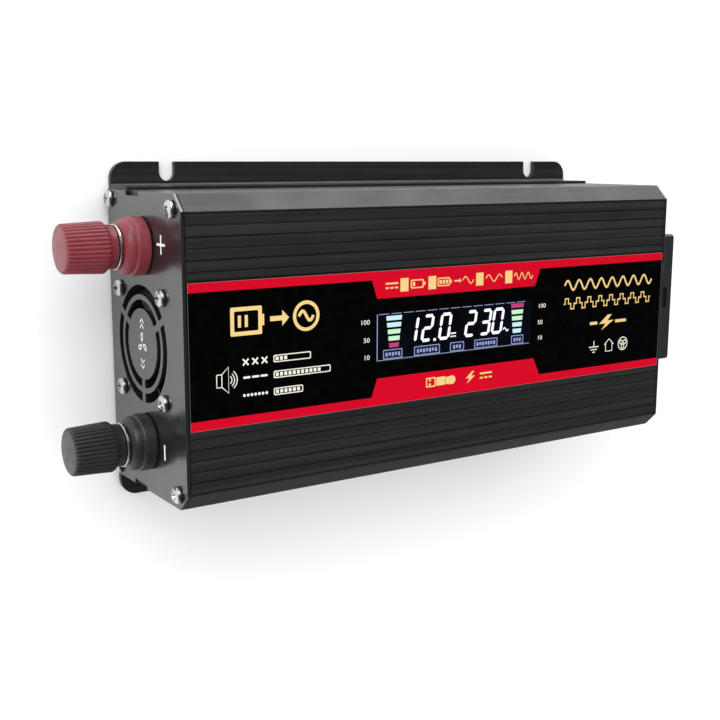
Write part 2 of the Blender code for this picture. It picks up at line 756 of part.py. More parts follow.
def make_outlet_housing():
    front = OUTLET_STANDS_OUT
    face = plate([rectangle((0, 0), OUTLET_SIZE, OUTLET_SIZE, 0.0012)], front - GAP)
    round_edges(face, 0.0012, 2, 60)
    middle = END_X + GAP + (front - GAP) / 2
    place(face, (middle, OUTLET_Y, OUTLET_Z), ALONG_LENGTH)
    depth = END_X + 0.004 - OUTLET_BACK_X
    centre = (OUTLET_BACK_X + depth / 2, OUTLET_Y, OUTLET_Z)
    join(face, as_cutter(place(block((depth, OUTLET_BODY, OUTLET_BODY)), centre), "outlet_body"))
    nose_z = OUTLET_Z + OUTLET_SIZE / 2 - 0.0026
    nose = block((0.0016, 0.0084, 0.0028), (END_X + front, OUTLET_Y + 0.0004, nose_z))
    join(face, as_cutter(nose, "outlet_latch_nose"))
    recess = rod(RECESS_RADIUS, front - RECESS_DEPTH, front + 0.002, 40)
    place(recess, (END_X, OUTLET_Y, OUTLET_Z), OUT_OF_OUTLET_END)
    cut(face, as_cutter(recess, "outlet_recess_cutter"))
    hollow = block((depth + 0.001, OUTLET_BODY - 0.004, OUTLET_BODY - 0.004))
    cut(face, as_cutter(place(hollow, (centre[0] - 0.001, OUTLET_Y, OUTLET_Z)), "outlet_hollow_cutter"))
    origin = (END_X + front - 0.006, OUTLET_Y, OUTLET_Z)
    boxes = pin_opening(1) + pin_opening(-1)
    boxes += [((0.0300, 0.0060, 0.0050), (0, 0, EARTH_Z)), ((0.0300, 0.0026, 0.0084), (0, 0, EARTH_Z))]
    for index, box in enumerate(boxes):
        cut(face, as_cutter(place(block(*box), origin), f"outlet_pin_cutter_{index + 1}"))
    for side in (1, -1):
        latch = block((0.0110, 0.0080, 0.0030))
        place(latch, (END_X + 0.0015, OUTLET_Y, OUTLET_Z + side * (OUTLET_SIZE / 2)))
        cut(face, as_cutter(latch, f"outlet_latch_cutter_{'up' if side > 0 else 'low'}"))
    return as_part(face, "outlet_housing", "black_plastic")


def make_outlet_back():
    cover = plate([rectangle((0, 0), OUTLET_BODY, OUTLET_BODY, 0.001)], 0.0020)
    place(cover, (OUTLET_BACK_X - GAP - 0.0010, OUTLET_Y, OUTLET_Z), ALONG_LENGTH)
    return as_part(cover, "outlet_back_cover", "black_plastic")


def contact_outline(width, gap, depth):
    """A spring clip seen from above: two leaves joined at the back."""
    leaf = 0.0008
    half = gap / 2
    return [
        (0, half + leaf), (0, -half - leaf), (depth, -half - leaf), (depth, -half),
        (leaf, -half), (leaf, half), (depth, half), (depth, half + leaf),
    ]


def make_contacts():
    start, depth = OUTLET_BACK_X + GAP + 0.0020, 0.0160
    clips = (
        ("live_contact", PIN_OFFSET, PIN_Z, 0.0070),
        ("neutral_contact", -PIN_OFFSET, PIN_Z, 0.0070),
        ("earth_contact", 0, EARTH_Z, 0.0050),
    )
    for name, y, z, gap in clips:
        clip = plate([contact_outline(0.006, gap, depth)], 0.0060)
        place(clip, (start, OUTLET_Y + y, OUTLET_Z + z))
        as_part(clip, name, "brass")


# Power switch


def make_switch():
    bezel = plate([rectangle((0, 0), *SWITCH_BEZEL, 0.0010)], 0.0020)
    round_edges(bezel, 0.0004, 1)
    place(bezel, (END_X + GAP + 0.0010, SWITCH_Y, SWITCH_Z), ALONG_LENGTH)
    depth = 0.0180
    body = block((depth, *SWITCH_BODY))
    place(body, (END_X + 0.001 - depth / 2, SWITCH_Y, SWITCH_Z))
    join(bezel, as_cutter(body, "switch_body"))
    well = block((0.0120, SWITCH_BODY[0] - 0.0024, SWITCH_BODY[1] - 0.0018))
    place(well, (END_X - 0.0014, SWITCH_Y, SWITCH_Z))
    cut(bezel, as_cutter(well, "switch_well_cutter"))
    as_part(bezel, "switch_housing", "black_plastic")
    make_rocker()


def rocker_outline():
    """The rocker from the side: two faces that meet at a shallow valley over the pivot."""
    reach, rise, valley, foot = 0.0076, 0.0040, 0.0026, 0.0030
    tilt = math.radians(SWITCH_TILT)
    drop = reach * math.sin(tilt)
    return [
        (0, valley), (-reach * 0.5, valley + 0.0003), (-reach, rise), (-reach, rise - 0.0030 - drop * 0.3),
        (-0.0030, -foot), (0.0030, -foot), (reach, rise - 0.0030 - drop * 0.3), (reach, rise),
        (reach * 0.5, valley + 0.0003),
    ]


def make_rocker():
    """Local X runs up the panel, local Y out of it, and local Z is the pivot's axis."""
    rocker = plate([rocker_outline()], SWITCH_BODY[0] - 0.0034)
    round_edges(rocker, 0.0003, 1)
    pivot = bpy.data.objects.new("rocker_pivot", None)
    bpy.data.collections[PARTS].objects.link(pivot)
    place(pivot, (SWITCH_AXIS_X, SWITCH_Y, SWITCH_Z), (0, math.radians(-SWITCH_TILT), 0))
    rocker.parent = pivot
    rocker.rotation_euler = (math.radians(-90), math.radians(-90), 0)
    return as_part(rocker, "power_rocker", "red_plastic")


# USB port


def make_usb():
    wide, tall = USB_OPENING
    wall = 0.0004
    inside = rectangle((0, 0), wide - 2 * wall, tall - 2 * wall, 0.0003)
    shell = plate([rectangle((0, 0), wide, tall, 0.0006), inside], 0.0140)
    place(shell, (END_X + 0.0006 - 0.0070, USB_Y, USB_Z), ALONG_LENGTH)
    as_part(shell, "usb_shell", "bright_nickel")
    tongue = block((0.0120, 0.0018, 0.0110), (0.0040, -0.0006, 0))
    plug = block((0.0030, 0.0042, 0.0115), (-0.0020, 0, 0))
    place(tongue, (END_X - 0.0115, USB_Y, USB_Z))
    place(plug, (END_X - 0.0115, USB_Y, USB_Z))
    join(tongue, as_cutter(plug, "usb_tongue_foot"))
    as_part(tongue, "usb_tongue", "white_plastic")
    board = plate([rectangle((0, 0), 0.0280, 0.0260, 0.0010)], 0.0016)
    board_y = USB_Y + wide / 2 + GAP + 0.0008
    place(board, (END_X - 0.0180, board_y, USB_Z), (math.radians(90), 0, 0))
    as_part(board, "usb_board", "circuit_board")


# Electronics


def make_board():
    inner = WIDTH / 2 + BASE_PROUD - BASE_SIDE
    length = BOARD_X[1] - BOARD_X[0]
    board = plate([rectangle((0, 0), length, 2 * inner - 0.0010, 0.0010)], BOARD_THICKNESS)
    place(board, (sum(BOARD_X) / 2, 0, BOARD_Z + BOARD_THICKNESS / 2))
    return as_part(board, "main_board", "circuit_board")


def make_transformer(index, x):
    """A ferrite core with two windows, and the winding round its middle leg."""
    wide, tall, deep, leg = 0.0400, 0.0330, 0.0140, 0.0110
    window = ((wide - leg) / 2 - 0.0055, tall - 0.0110)
    offset = leg / 2 + window[0] / 2
    outline = [rectangle((0, 0), wide, tall)]
    outline += [rectangle((side * offset, 0), *window) for side in (1, -1)]
    core = plate(outline, deep)
    stand = BOARD_TOP + 0.0035 + tall / 2
    place(core, (x, 0, stand), (math.radians(90), 0, math.radians(90)))
    as_part(core, f"transformer_core_{index}", "ferrite")
    half = window[0] - 2 * GAP
    outer = (leg + 2 * GAP + 2 * half, deep + 2 * GAP + 2 * half)
    coil = plate(
        [
            rectangle((0, 0), *outer, 0.0030),
            rectangle((0, 0), leg + 2 * GAP, deep + 2 * GAP),
        ],
        window[1] - 2 * GAP,
    )
    place(coil, (x, 0, stand), (0, 0, math.radians(90)))
    as_part(coil, f"transformer_winding_{index}", "yellow_tape")


def make_capacitor(name, x, y, radius, height):
    low = BOARD_TOP
    groove = radius - 0.0006
    profile = [(0, height), (radius - 0.0008, height), (radius, height - 0.0008), (radius, 0.0034)]
    profile += [(groove, 0.0026), (radius, 0.0018), (radius, 0), (0, 0)]
    body = place(turned(profile, 20), (x, y, low))
    return as_part(body, name, "capacitor_sleeve")


def transistor_outline():
    """A flat power package from the front: body above, three leads below."""
    half, lead, body_low = 0.0050, 0.0005, 0.0060
    points = [(half, body_low), (half, 0.0210), (-half, 0.0210), (-half, body_low)]
    for x in (-0.00254, 0, 0.00254):
        points += [(x - lead, body_low), (x - lead, 0), (x + lead, 0), (x + lead, body_low)]
    return points


def make_transistors():
    """Two power packages held flat against each side wall by a clamp bar."""
    wall = WIDTH / 2 - COVER_WALL - GAP
    index = 1
    for side, word in ((1, "left"), (-1, "right")):
        for x in (-0.0500, -0.0340):
            package = plate([transistor_outline()], 0.0026)
            place(package, (x, side * (wall - 0.0013), BOARD_TOP + 0.0050), (math.radians(90), 0, 0))
            as_part(package, f"transistor_{index}", "black_plastic")
            index += 1
        bar = block((0.0340, 0.0014, 0.0070))
        bar_y = side * (wall - 0.0026 - GAP - 0.0007)
        place(round_edges(bar, 0.0004, 1), (-0.0420, bar_y, BOARD_TOP + 0.0190))
        as_part(bar, f"clamp_bar_{word}", "grey_steel")


def make_electronics():
    make_board()
    make_transformer(1, -0.0180)
    make_transformer(2, 0.0260)
    make_capacitor("input_capacitor_1", -0.0700, 0.0120, 0.0080, 0.0300)
    make_capacitor("input_capacitor_2", -0.0700, -0.0120, 0.0080, 0.0300)
    make_capacitor("output_capacitor", 0.0620, -0.0250, 0.0090, 0.0280)
    make_transistors()
    make_buzzer()


def make_buzzer():
    sound_hole, radius, height = 0.0012, 0.0062, 0.0085
    profile = [(sound_hole, height), (radius - 0.0004, height), (radius, height - 0.0004), (radius, 0)]
    profile += [(0, 0), (0, height - 0.0015), (sound_hole, height - 0.0015)]
    buzzer = place(turned(profile, 20, closed=True), (0.0560, 0.0220, BOARD_TOP))
    return as_part(buzzer, "buzzer", "black_plastic")


def build():
    clear_scene()
    new_collection(PARTS)
    new_collection(CUTTERS, hidden=True)
    make_cover()
    make_base()
    make_battery_panel()
    make_outlet_panel()
    make_case_screws()
    make_label()
    make_display()
    make_post(1, "positive", "red_plastic")
    make_post(-1, "negative", "black_plastic")
    make_fan()
    make_outlet_housing()
    make_outlet_back()
    make_contacts()
    make_switch()
    make_usb()
    make_electronics()


build()
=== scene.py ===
import json
import math
import random

import bmesh
import bpy
from mathutils import Matrix, Vector

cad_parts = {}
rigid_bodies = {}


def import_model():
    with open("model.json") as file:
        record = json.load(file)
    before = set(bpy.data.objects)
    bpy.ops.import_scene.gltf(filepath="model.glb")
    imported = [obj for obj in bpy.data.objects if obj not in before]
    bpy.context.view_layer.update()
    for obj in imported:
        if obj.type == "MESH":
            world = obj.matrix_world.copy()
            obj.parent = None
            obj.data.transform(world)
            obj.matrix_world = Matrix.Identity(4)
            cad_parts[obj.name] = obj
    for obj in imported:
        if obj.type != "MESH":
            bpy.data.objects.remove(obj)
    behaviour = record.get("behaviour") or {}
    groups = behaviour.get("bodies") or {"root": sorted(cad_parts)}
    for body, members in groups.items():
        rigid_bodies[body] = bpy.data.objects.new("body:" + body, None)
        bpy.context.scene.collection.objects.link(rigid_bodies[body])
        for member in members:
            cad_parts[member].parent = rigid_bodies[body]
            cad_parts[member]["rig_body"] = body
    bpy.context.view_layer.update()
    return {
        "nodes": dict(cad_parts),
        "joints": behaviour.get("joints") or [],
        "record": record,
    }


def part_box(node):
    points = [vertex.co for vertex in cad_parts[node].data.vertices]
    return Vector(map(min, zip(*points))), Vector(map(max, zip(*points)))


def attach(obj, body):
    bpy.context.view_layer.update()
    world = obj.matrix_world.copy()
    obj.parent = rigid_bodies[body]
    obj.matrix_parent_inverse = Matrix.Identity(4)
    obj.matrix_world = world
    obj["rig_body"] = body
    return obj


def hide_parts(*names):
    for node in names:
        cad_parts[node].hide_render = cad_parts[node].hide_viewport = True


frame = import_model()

# The finished look of a power inverter. Metres, in the part's frame: the mounting face lies at Z = 0, the
# battery end faces -X, the outlet end +X, and the label +Z. Drawings on the label are in millimetres.

MM = 0.001

# Colours, linear
BLACK = (0.0135, 0.0139, 0.0143)
RED_INK = (0.470, 0.0001, 0.0115)
GOLD_INK = (0.640, 0.450, 0.170)
PALE_INK = (0.660, 0.635, 0.540)
WHITE_INK = (0.80, 0.80, 0.80)
MAROON = (0.190, 0.026, 0.036)
FLOOR = (0.86, 0.86, 0.86)

# Printed marks and lit segments
PRINT = 0.00004  # thickness of a printed mark
SEGMENT = 0.00003  # thickness of a lit segment
LIFT = 0.00003  # of a mark's middle above the face it is on
STROKE_FLATTEN = 0.08  # a drawn line's height over its width
LIT_SEGMENTS = {"0": "abcdef", "1": "bc", "2": "abged", "3": "abgcd"}

# Battery post
STUD_HOLE_RADIUS = 0.0034
KNOB_FLUTES = 36
KNOB_FLUTE_DEPTH = 0.00042
KNOB_TIP_RADIUS = 0.0074
KNOB_NECK_RADIUS = 0.0067
KNOB_SHOULDER = 0.0127  # height above the panel's outer face

# Rocker: where the middle of each half's face lies, from the pivot
ROCKER_TILT = math.radians(10)  # away from level, at rest
ROCKER_REACH = 0.0056
ROCKER_RISE = 0.00345
ROCKER_SLOPE = math.atan2(0.0011, 0.0038)

FAN_BLADES = 7

# Camera: the photograph's viewing angle
CAMERA_LENS = 55.577  # for a sensor 36 mm wide
CAMERA_PLACE = Vector((-0.23465, 0.05760, 0.34714))
CAMERA_FORWARD = Vector((0.54830, -0.18031, -0.81662))
CAMERA_RIGHT = Vector((0.83055, 0.00327, 0.55693))


# Materials


class Surface:
    """A material: one Principled shader, and procedural textures in the object's own coordinates."""

    def __init__(self, name, colour, roughness, metallic=0.0, **more):
        self.material = bpy.data.materials.new(name)
        self.material.use_nodes = True
        self.tree = self.material.node_tree
        self.shader = self.tree.nodes["Principled BSDF"]
        self.where = self.add("ShaderNodeTexCoord").outputs["Object"]
        values = {"Base Color": (*colour, 1), "Roughness": roughness, "Metallic": metallic, **more}
        for key, value in values.items():
            self.shader.inputs[key].default_value = value

    def add(self, kind, inputs=None, **settings):
        node = self.tree.nodes.new(kind)
        for key, value in settings.items():
            setattr(node, key, value)
        for key, value in (inputs or {}).items():
            if isinstance(value, bpy.types.NodeSocket):
                self.tree.links.new(value, node.inputs[key])
            else:
                node.inputs[key].default_value = value
        return node

    def noise(self, scale, stretch=(1, 1, 1), detail=4.0):
        """Noise with about `scale` features to the metre, drawn out where stretch is under 1."""
        mapped = self.add("ShaderNodeMapping", {"Vector": self.where, "Scale": stretch})
        inputs = {"Vector": mapped.outputs[0], "Scale": scale, "Detail": detail}
        return self.add("ShaderNodeTexNoise", inputs).outputs["Fac"]

    def waves(self, scale, direction="X", kind="BANDS", distortion=0.0):
        inputs = {"Vector": self.where, "Scale": scale, "Distortion": distortion}
        setting = "bands_direction" if kind == "BANDS" else "rings_direction"
        node = self.add("ShaderNodeTexWave", inputs, wave_type=kind, **{setting: direction})
        return node.outputs["Fac"]

    def ramp(self, factor, low, high, start=0.35, end=0.65):
        node = self.add("ShaderNodeMapRange", {"Value": factor, "From Min": start, "From Max": end})
        node.inputs["To Min"].default_value = low
        node.inputs["To Max"].default_value = high
        return node.outputs["Result"]

    def mixed(self, factor, low, high, start=0.35, end=0.65):
        node = self.add("ShaderNodeValToRGB", {"Fac": factor})
        for stop, place, colour in zip(node.color_ramp.elements, (start, end), (low, high)):
            stop.position = place
            stop.color = (*colour, 1)
        return node.outputs["Color"]

    def drive(self, key, socket):
        self.tree.links.new(socket, self.shader.inputs[key])

    def colours(self, factor, low, high, start=0.35, end=0.65):
        self.drive("Base Color", self.mixed(factor, low, high, start, end))

    def gloss(self, factor, low, high):
        self.drive("Roughness", self.ramp(factor, low, high))

    def relief(self, factor, depth, strength=1.0):
        """Adds bumps of about this depth, on top of any relief before them."""
        inputs = {"Height": factor, "Distance": depth, "Strength": strength}
        normal = self.shader.inputs["Normal"]
        if normal.is_linked:
            inputs["Normal"] = normal.links[0].from_socket
        self.drive("Normal", self.add("ShaderNodeBump", inputs).outputs["Normal"])


def scaled(colour, factor):
    return tuple(channel * factor for channel in colour)


def extruded_black():
    """Satin black coating over an extrusion, with faint die lines along its length."""
    surface = Surface("black_aluminium", BLACK, 0.42, 0.0)
    lines = surface.noise(600, (0.012, 1, 1), 6)
    cloud = surface.noise(60, detail=3)
    surface.colours(lines, scaled(BLACK, 0.80), scaled(BLACK, 1.55), 0.42, 0.72)
    surface.gloss(cloud, 0.36, 0.46)
    surface.relief(lines, 0.00006, 0.5)
    surface.relief(surface.noise(4500, detail=2), 0.00002, 0.35)
    return surface.material


def stoved_paint(name, colour):
    """Glossy baked paint over sheet steel, with a faint orange peel."""
    surface = Surface(name, colour, 0.2, IOR=1.85)
    surface.colours(surface.noise(90), scaled(colour, 0.85), scaled(colour, 1.15))
    surface.gloss(surface.noise(260), 0.17, 0.25)
    surface.relief(surface.noise(1300, detail=3), 0.00002, 0.30)
    return surface.material


def moulded(name, colour, roughness=0.4, depth=0.00004, **more):
    """Moulded plastic: fine spark-eroded grain, with slow changes in gloss."""
    surface = Surface(name, colour, roughness, 0.0, **more)
    surface.colours(surface.noise(140), scaled(colour, 0.90), scaled(colour, 1.10))
    surface.gloss(surface.noise(420), roughness - 0.06, roughness + 0.08)
    surface.relief(surface.noise(3200, detail=2), depth, 0.4)
    return surface.material


def printed(name, colour, roughness=0.30):
    """Screen-printed ink, a little uneven in thickness and gloss."""
    surface = Surface(name, colour, roughness, **{"Specular IOR Level": 0.05})
    surface.colours(surface.noise(30, detail=2), scaled(colour, 0.97), scaled(colour, 1.02))
    surface.gloss(surface.noise(120), roughness - 0.02, roughness + 0.03)
    surface.relief(surface.noise(5200, detail=1), 0.000005, 0.15)
    return surface.material


def plated(name, colour, roughness):
    """Bright plating, slightly uneven, with hair scratches."""
    surface = Surface(name, colour, roughness, 1.0)
    scratches = surface.noise(2600, (1, 0.05, 0.3), 2)
    surface.colours(surface.noise(300), scaled(colour, 0.86), colour)
    surface.gloss(surface.noise(900), roughness - 0.05, roughness + 0.09)
    surface.relief(scratches, 0.00001, 0.35)
    surface.relief(surface.noise(700), 0.00003, 0.25)
    return surface.material


def lit(name, colour, strength):
    """A lit segment: even light, broken up by the panel's fine pixel grid."""
    surface = Surface(name, scaled(colour, 0.25), 0.35)
    grid = surface.waves(900, "DIAGONAL")
    surface.drive("Emission Color", surface.mixed(grid, scaled(colour, 0.9), colour, 0.2, 0.6))
    surface.shader.inputs["Emission Strength"].default_value = strength
    return surface.material


def display_glass():
    """The dark panel behind the segments, with a trace of backlight."""
    navy = (0.0006, 0.0010, 0.0032)
    surface = Surface("display_glass", navy, 0.14)
    surface.colours(surface.noise(70, detail=2), scaled(navy, 0.6), scaled(navy, 1.5))
    surface.drive("Emission Color", surface.mixed(surface.noise(45), (0, 0, 0), (0.002, 0.003, 0.010)))
    surface.shader.inputs["Emission Strength"].default_value = 0.4
    surface.gloss(surface.noise(500), 0.10, 0.20)
    return surface.material


def clear_film():
    """A clear window: what lies behind shows through, under a faint reflection."""
    surface = Surface("clear_plastic", (0.02, 0.025, 0.04), 0.06)
    glass = surface.add("ShaderNodeBsdfTransparent", {"Color": (0.93, 0.95, 0.97, 1)})
    shine = surface.add("ShaderNodeBsdfGlossy", {"Roughness": surface.ramp(surface.noise(200), 0.05, 0.12)})
    facing = surface.add("ShaderNodeFresnel", {"IOR": 1.35})
    mix = surface.add("ShaderNodeMixShader", {0: facing.outputs[0], 1: glass.outputs[0], 2: shine.outputs[0]})
    surface.tree.links.new(mix.outputs[0], surface.tree.nodes["Material Output"].inputs["Surface"])
    return surface.material


def label_film():
    """Deep gloss black film with barely visible ripple."""
    surface = Surface("label_film", (0.0010, 0.0010, 0.0012), 0.16, **{"Specular IOR Level": 0.08})
    surface.colours(surface.noise(300), (0.0006, 0.0006, 0.0008), (0.0012, 0.0012, 0.0014))
    surface.gloss(surface.noise(900), 0.12, 0.20)
    surface.relief(surface.noise(160), 0.00002, 0.15)
    return surface.material


def board_mask():
    """Green solder mask over copper tracks."""
    green, track = (0.010, 0.075, 0.030), (0.020, 0.150, 0.055)
    surface = Surface("circuit_board", green, 0.35)
    bricks = surface.add("ShaderNodeTexBrick", {"Vector": surface.where, "Scale": 320, "Mortar Size": 0.03})
    surface.colours(bricks.outputs["Fac"], green, track, 0.2, 0.8)
    surface.relief(bricks.outputs["Fac"], 0.00003, 0.5)
    surface.gloss(surface.noise(400), 0.28, 0.42)
    return surface.material


def wound_tape():
    """Amber tape over the turns of a winding."""
    surface = Surface("yellow_tape", (0.62, 0.38, 0.05), 0.5)
    turns = surface.waves(260, "Z")
    surface.colours(surface.noise(220), (0.50, 0.30, 0.035), (0.72, 0.46, 0.07))
    surface.relief(turns, 0.00015, 0.6)
    surface.gloss(surface.noise(500), 0.4, 0.6)
    return surface.material


def wound_copper():
    """Enamelled wire, turn beside turn."""
    surface = Surface("copper", (0.62, 0.25, 0.12), 0.3, 1.0)
    turns = surface.waves(900, "X")
    surface.colours(turns, (0.28, 0.09, 0.04), (0.72, 0.30, 0.15), 0.1, 0.6)
    surface.relief(turns, 0.0002, 0.8)
    return surface.material


def fired_ferrite():
    surface = Surface("ferrite", (0.032, 0.032, 0.034), 0.75)
    surface.colours(surface.noise(1200, detail=6), (0.018, 0.018, 0.020), (0.055, 0.055, 0.058))
    surface.relief(surface.noise(1500, detail=5), 0.0001, 0.5)
    return surface.material


def brushed_steel():
    surface = Surface("spring_steel", (0.42, 0.42, 0.43), 0.32, 1.0)
    grain = surface.noise(1400, (0.03, 1, 1), 4)
    surface.colours(grain, (0.30, 0.30, 0.31), (0.50, 0.50, 0.51))
    surface.gloss(grain, 0.25, 0.45)
    surface.relief(grain, 0.00003, 0.4)
    return surface.material


def make_finishes():
    """The record's finishes by the name of their slot, and the inks and lit segments by their own names."""
    return {
        "black_aluminium": extruded_black(),
        "grey_steel": stoved_paint("grey_steel", (0.012, 0.012, 0.0125)),
        "label_film": label_film(),
        "clear_plastic": clear_film(),
        "display_glass": display_glass(),
        "bright_nickel": plated("bright_nickel", (0.62, 0.61, 0.59), 0.24),
        "red_plastic": moulded("red_plastic", MAROON, 0.36, **{"Subsurface Weight": 0.06}),
        "black_plastic": moulded("black_plastic", (0.0150, 0.0165, 0.0175), 0.38),
        "red_cable": moulded("red_cable", (0.42, 0.015, 0.015), 0.5),
        "black_cable": moulded("black_cable", (0.018, 0.018, 0.018), 0.5),
        "switch_red": moulded("switch_red", (0.50, 0.010, 0.012), 0.22, 0.00001),
        "brass": plated("brass", (0.72, 0.50, 0.20), 0.25),
        "copper": wound_copper(),
        "circuit_board": board_mask(),
        "ferrite": fired_ferrite(),
        "yellow_tape": wound_tape(),
        "capacitor_sleeve": moulded("capacitor_sleeve", (0.012, 0.020, 0.085), 0.30, 0.00002),
        "transistor_epoxy": moulded("transistor_epoxy", (0.016, 0.016, 0.017), 0.55, 0.00006),
        "spring_steel": brushed_steel(),
        "white_plastic": moulded("white_plastic", (0.72, 0.72, 0.70), 0.42),
        "red_ink": printed("red_ink", RED_INK),
        "gold_ink": printed("gold_ink", GOLD_INK),
        "pale_ink": printed("pale_ink", PALE_INK),
        # Pale grey-teal for the frame round the label: a painted highlight of the film's cut edge catching
        # light.
        "painted_edge_highlight": printed("painted_edge_highlight", (0.075, 0.115, 0.125)),
        "white_ink": printed("white_ink", WHITE_INK, 0.5),
        "lit_white": lit("lit_white", (0.97, 0.98, 1.0), 1.15),
        "lit_blue": lit("lit_blue", (0.62, 0.86, 0.95), 0.95),
        "lit_green": lit("lit_green", (0.60, 0.90, 0.60), 0.95),
        "lit_magenta": lit("lit_magenta", (0.62, 0.055, 0.24), 0.8),
        "dim_blue": lit("dim_blue", (0.008, 0.012, 0.065), 0.9),
        "lit_legend": lit("lit_legend", (0.36, 0.42, 0.66), 0.9),
    }


FINISHES = make_finishes()
SLOTS = {part["node"]: part["material_slot"] for part in frame["record"]["subparts"]}


# Placing pieces


def finished(obj, name, finish, body="case"):
    """Names obj, gives it its finish, and lets it ride on a CAD body."""
    obj.name = name
    obj.data.name = name
    obj.data.materials.clear()
    obj.data.materials.append(FINISHES[finish])
    if obj.name not in bpy.context.scene.collection.objects:
        bpy.context.scene.collection.objects.link(obj)
    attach(obj, body)
    return obj


def body_of(node):
    return frame["nodes"][node]["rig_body"]


def standing_for(obj, node, name=None):
    """obj becomes the shown shape of a CAD node, with that node's finish and body."""
    slot = SLOTS[node]
    finished(obj, name or f"{node}_finish", slot, body_of(node))
    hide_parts(node)
    return obj


def mesh_object(name, vertices, faces, smooth=True):
    mesh = bpy.data.meshes.new(name)
    mesh.from_pydata([tuple(v) for v in vertices], [], faces)
    mesh.update()
    if smooth:
        mesh.shade_smooth()
        mesh.set_sharp_from_angle(angle=math.radians(40))
    return bpy.data.objects.new(name, mesh)


def clean_copy(node):
    """A CAD node's shape with its facets merged back into whole faces."""
    shape = bmesh.new()
    shape.from_mesh(frame["nodes"][node].data)
    bmesh.ops.remove_doubles(shape, verts=shape.verts, dist=2e-6)
    limit = math.radians(0.6)
    bmesh.ops.dissolve_limit(shape, angle_limit=limit, verts=shape.verts, edges=shape.edges)
    shape.verts.index_update()
    vertices = [v.co.copy() for v in shape.verts]
    faces = [[v.index for v in face.verts] for face in shape.faces]
    shape.free()
    return mesh_object(node, vertices, faces)


def bevelled(obj, width, segments=2, angle=38):
    bevel = obj.modifiers.new("edges", "BEVEL")
    bevel.width = width
    bevel.segments = segments
    bevel.limit_method = "ANGLE"
    bevel.angle_limit = math.radians(angle)
    weights = obj.modifiers.new("flat_faces", "WEIGHTED_NORMAL")
    weights.keep_sharp = True
    return obj


def refine(node, width=0.0002, segments=2):
    """Shows a CAD node with softened edges."""
    return standing_for(bevelled(clean_copy(node), width, segments), node)


# Shapes


def arc(centre, radius, start, end, segments=12):
    points = []
    for i in range(segments + 1):
        angle = math.radians(start + (end - start) * i / segments)
        points.append((centre[0] + radius * math.cos(angle), centre[1] + radius * math.sin(angle)))
    return points


def box(x0, y0, x1, y1, corner=0.0):
    """A rectangle between two corners, with its own corners rounded where corner isn't zero."""
    if not corner:
        return [(x0, y0), (x1, y0), (x1, y1), (x0, y1)]
    points = []
    corners = ((x1, y0, -90), (x1, y1, 0), (x0, y1, 90), (x0, y0, 180))
    for x, y, start in corners:
        cx = x - corner if x == x1 else x + corner
        cy = y - corner if y == y1 else y + corner
        points += arc((cx, cy), corner, start, start + 90, 4)
    return points


def revolve(name, profile, steps=64, radius_at=None):
    """A body turned about local Z from (radius, height) points. radius_at may flute it, angle by angle."""
    vertices, rings = [], []
    for radius, height in profile:
        if radius < 1e-7:
            rings.append([len(vertices)])
            vertices.append((0, 0, height))
            continue
        ring = []
        for i in range(steps):
            angle = 2 * math.pi * i / steps
            reach = radius_at(radius, height, angle) if radius_at else radius
            ring.append(len(vertices))
            vertices.append((reach * math.cos(angle), reach * math.sin(angle), height))
        rings.append(ring)
    faces = []
    for upper, lower in zip(rings, rings[1:]):
        for i in range(steps):
            j = (i + 1) % steps
            a, b = upper[i % len(upper)], upper[j % len(upper)]
            c, d = lower[j % len(lower)], lower[i % len(lower)]
            faces.append([v for k, v in enumerate((a, d, c, b)) if v not in (a, d, c, b)[:k]])
    return mesh_object(name, vertices, faces)


def linked_curve(curve, name, finish, matrix, body):
    obj = bpy.data.objects.new(name, curve)
    obj.matrix_world = matrix
    bpy.context.scene.collection.objects.link(obj)
    return finished(obj, name, finish, body)


def add_line(curve, points):
    """Adds one spline to the curve, from points in millimetres."""
    spline = curve.splines.new("POLY")
    spline.points.add(len(points) - 1)
    for point, (x, y) in zip(spline.points, points):
        point.co = (x * MM, y * MM, 0, 1)
    return spline


def flat(name, outlines, thickness, finish, matrix, body="case"):
    """Thin flat shapes in one piece, such as printed marks, from outlines in millimetres."""
    curve = bpy.data.curves.new(name, "CURVE")
    curve.dimensions = "2D"
    curve.fill_mode = "BOTH"
    curve.extrude = thickness / 2
    for outline in outlines:
        add_line(curve, outline).use_cyclic_u = True
    return linked_curve(curve, name, finish, matrix, body)


def strokes(name, lines, width, finish, matrix, body="case"):
    """Drawn lines, in millimetres: flattened round wires along each list of points."""
    curve = bpy.data.curves.new(name, "CURVE")
    curve.dimensions = "3D"
    curve.bevel_depth = width / 2 * MM
    curve.bevel_resolution = 1
    curve.use_fill_caps = True
    for points in lines:
        add_line(curve, points)
    flattened = matrix @ Matrix.Diagonal((1, 1, STROKE_FLATTEN, 1))
    return linked_curve(curve, name, finish, flattened, body)


def out_of_battery_end(y, z, x=None):
    """Local Z points out of the battery end, and the origin lies on the panel's outer face."""
    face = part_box("dc_end_panel")[0].x if x is None else x
    return Matrix.Translation((face, y, z)) @ Matrix.Rotation(math.radians(-90), 4, "Y")


def out_of_outlet_end(y, z, x=None):
    """The same for the outlet end."""
    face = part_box("ac_end_panel")[1].x if x is None else x
    return Matrix.Translation((face, y, z)) @ Matrix.Rotation(math.radians(90), 4, "Y")


# Case


def make_case():
    refine("top_cover", 0.00018)
    refine("base_extrusion", 0.00022)
    refine("dc_end_panel", 0.00025)
    refine("ac_end_panel", 0.00025)
    refine("label_overlay", 0.00012)


# Screws


def cross_recess():
    """A tapered cross that cuts a driver's recess into the top of a screw."""
    top = [(x, y, 0.0010) for x, y in cross(0, 0, 0.0044, 0.0015)]
    low = [(x * 0.4, y * 0.4, -0.0014) for x, y, _ in top]
    count = len(top)
    faces = [list(range(count)), [2 * count - 1 - i for i in range(count)]]
    faces += [[i, i + count, (i + 1) % count + count, (i + 1) % count] for i in range(count)]
    return mesh_object("recess", top + low, faces, smooth=False)


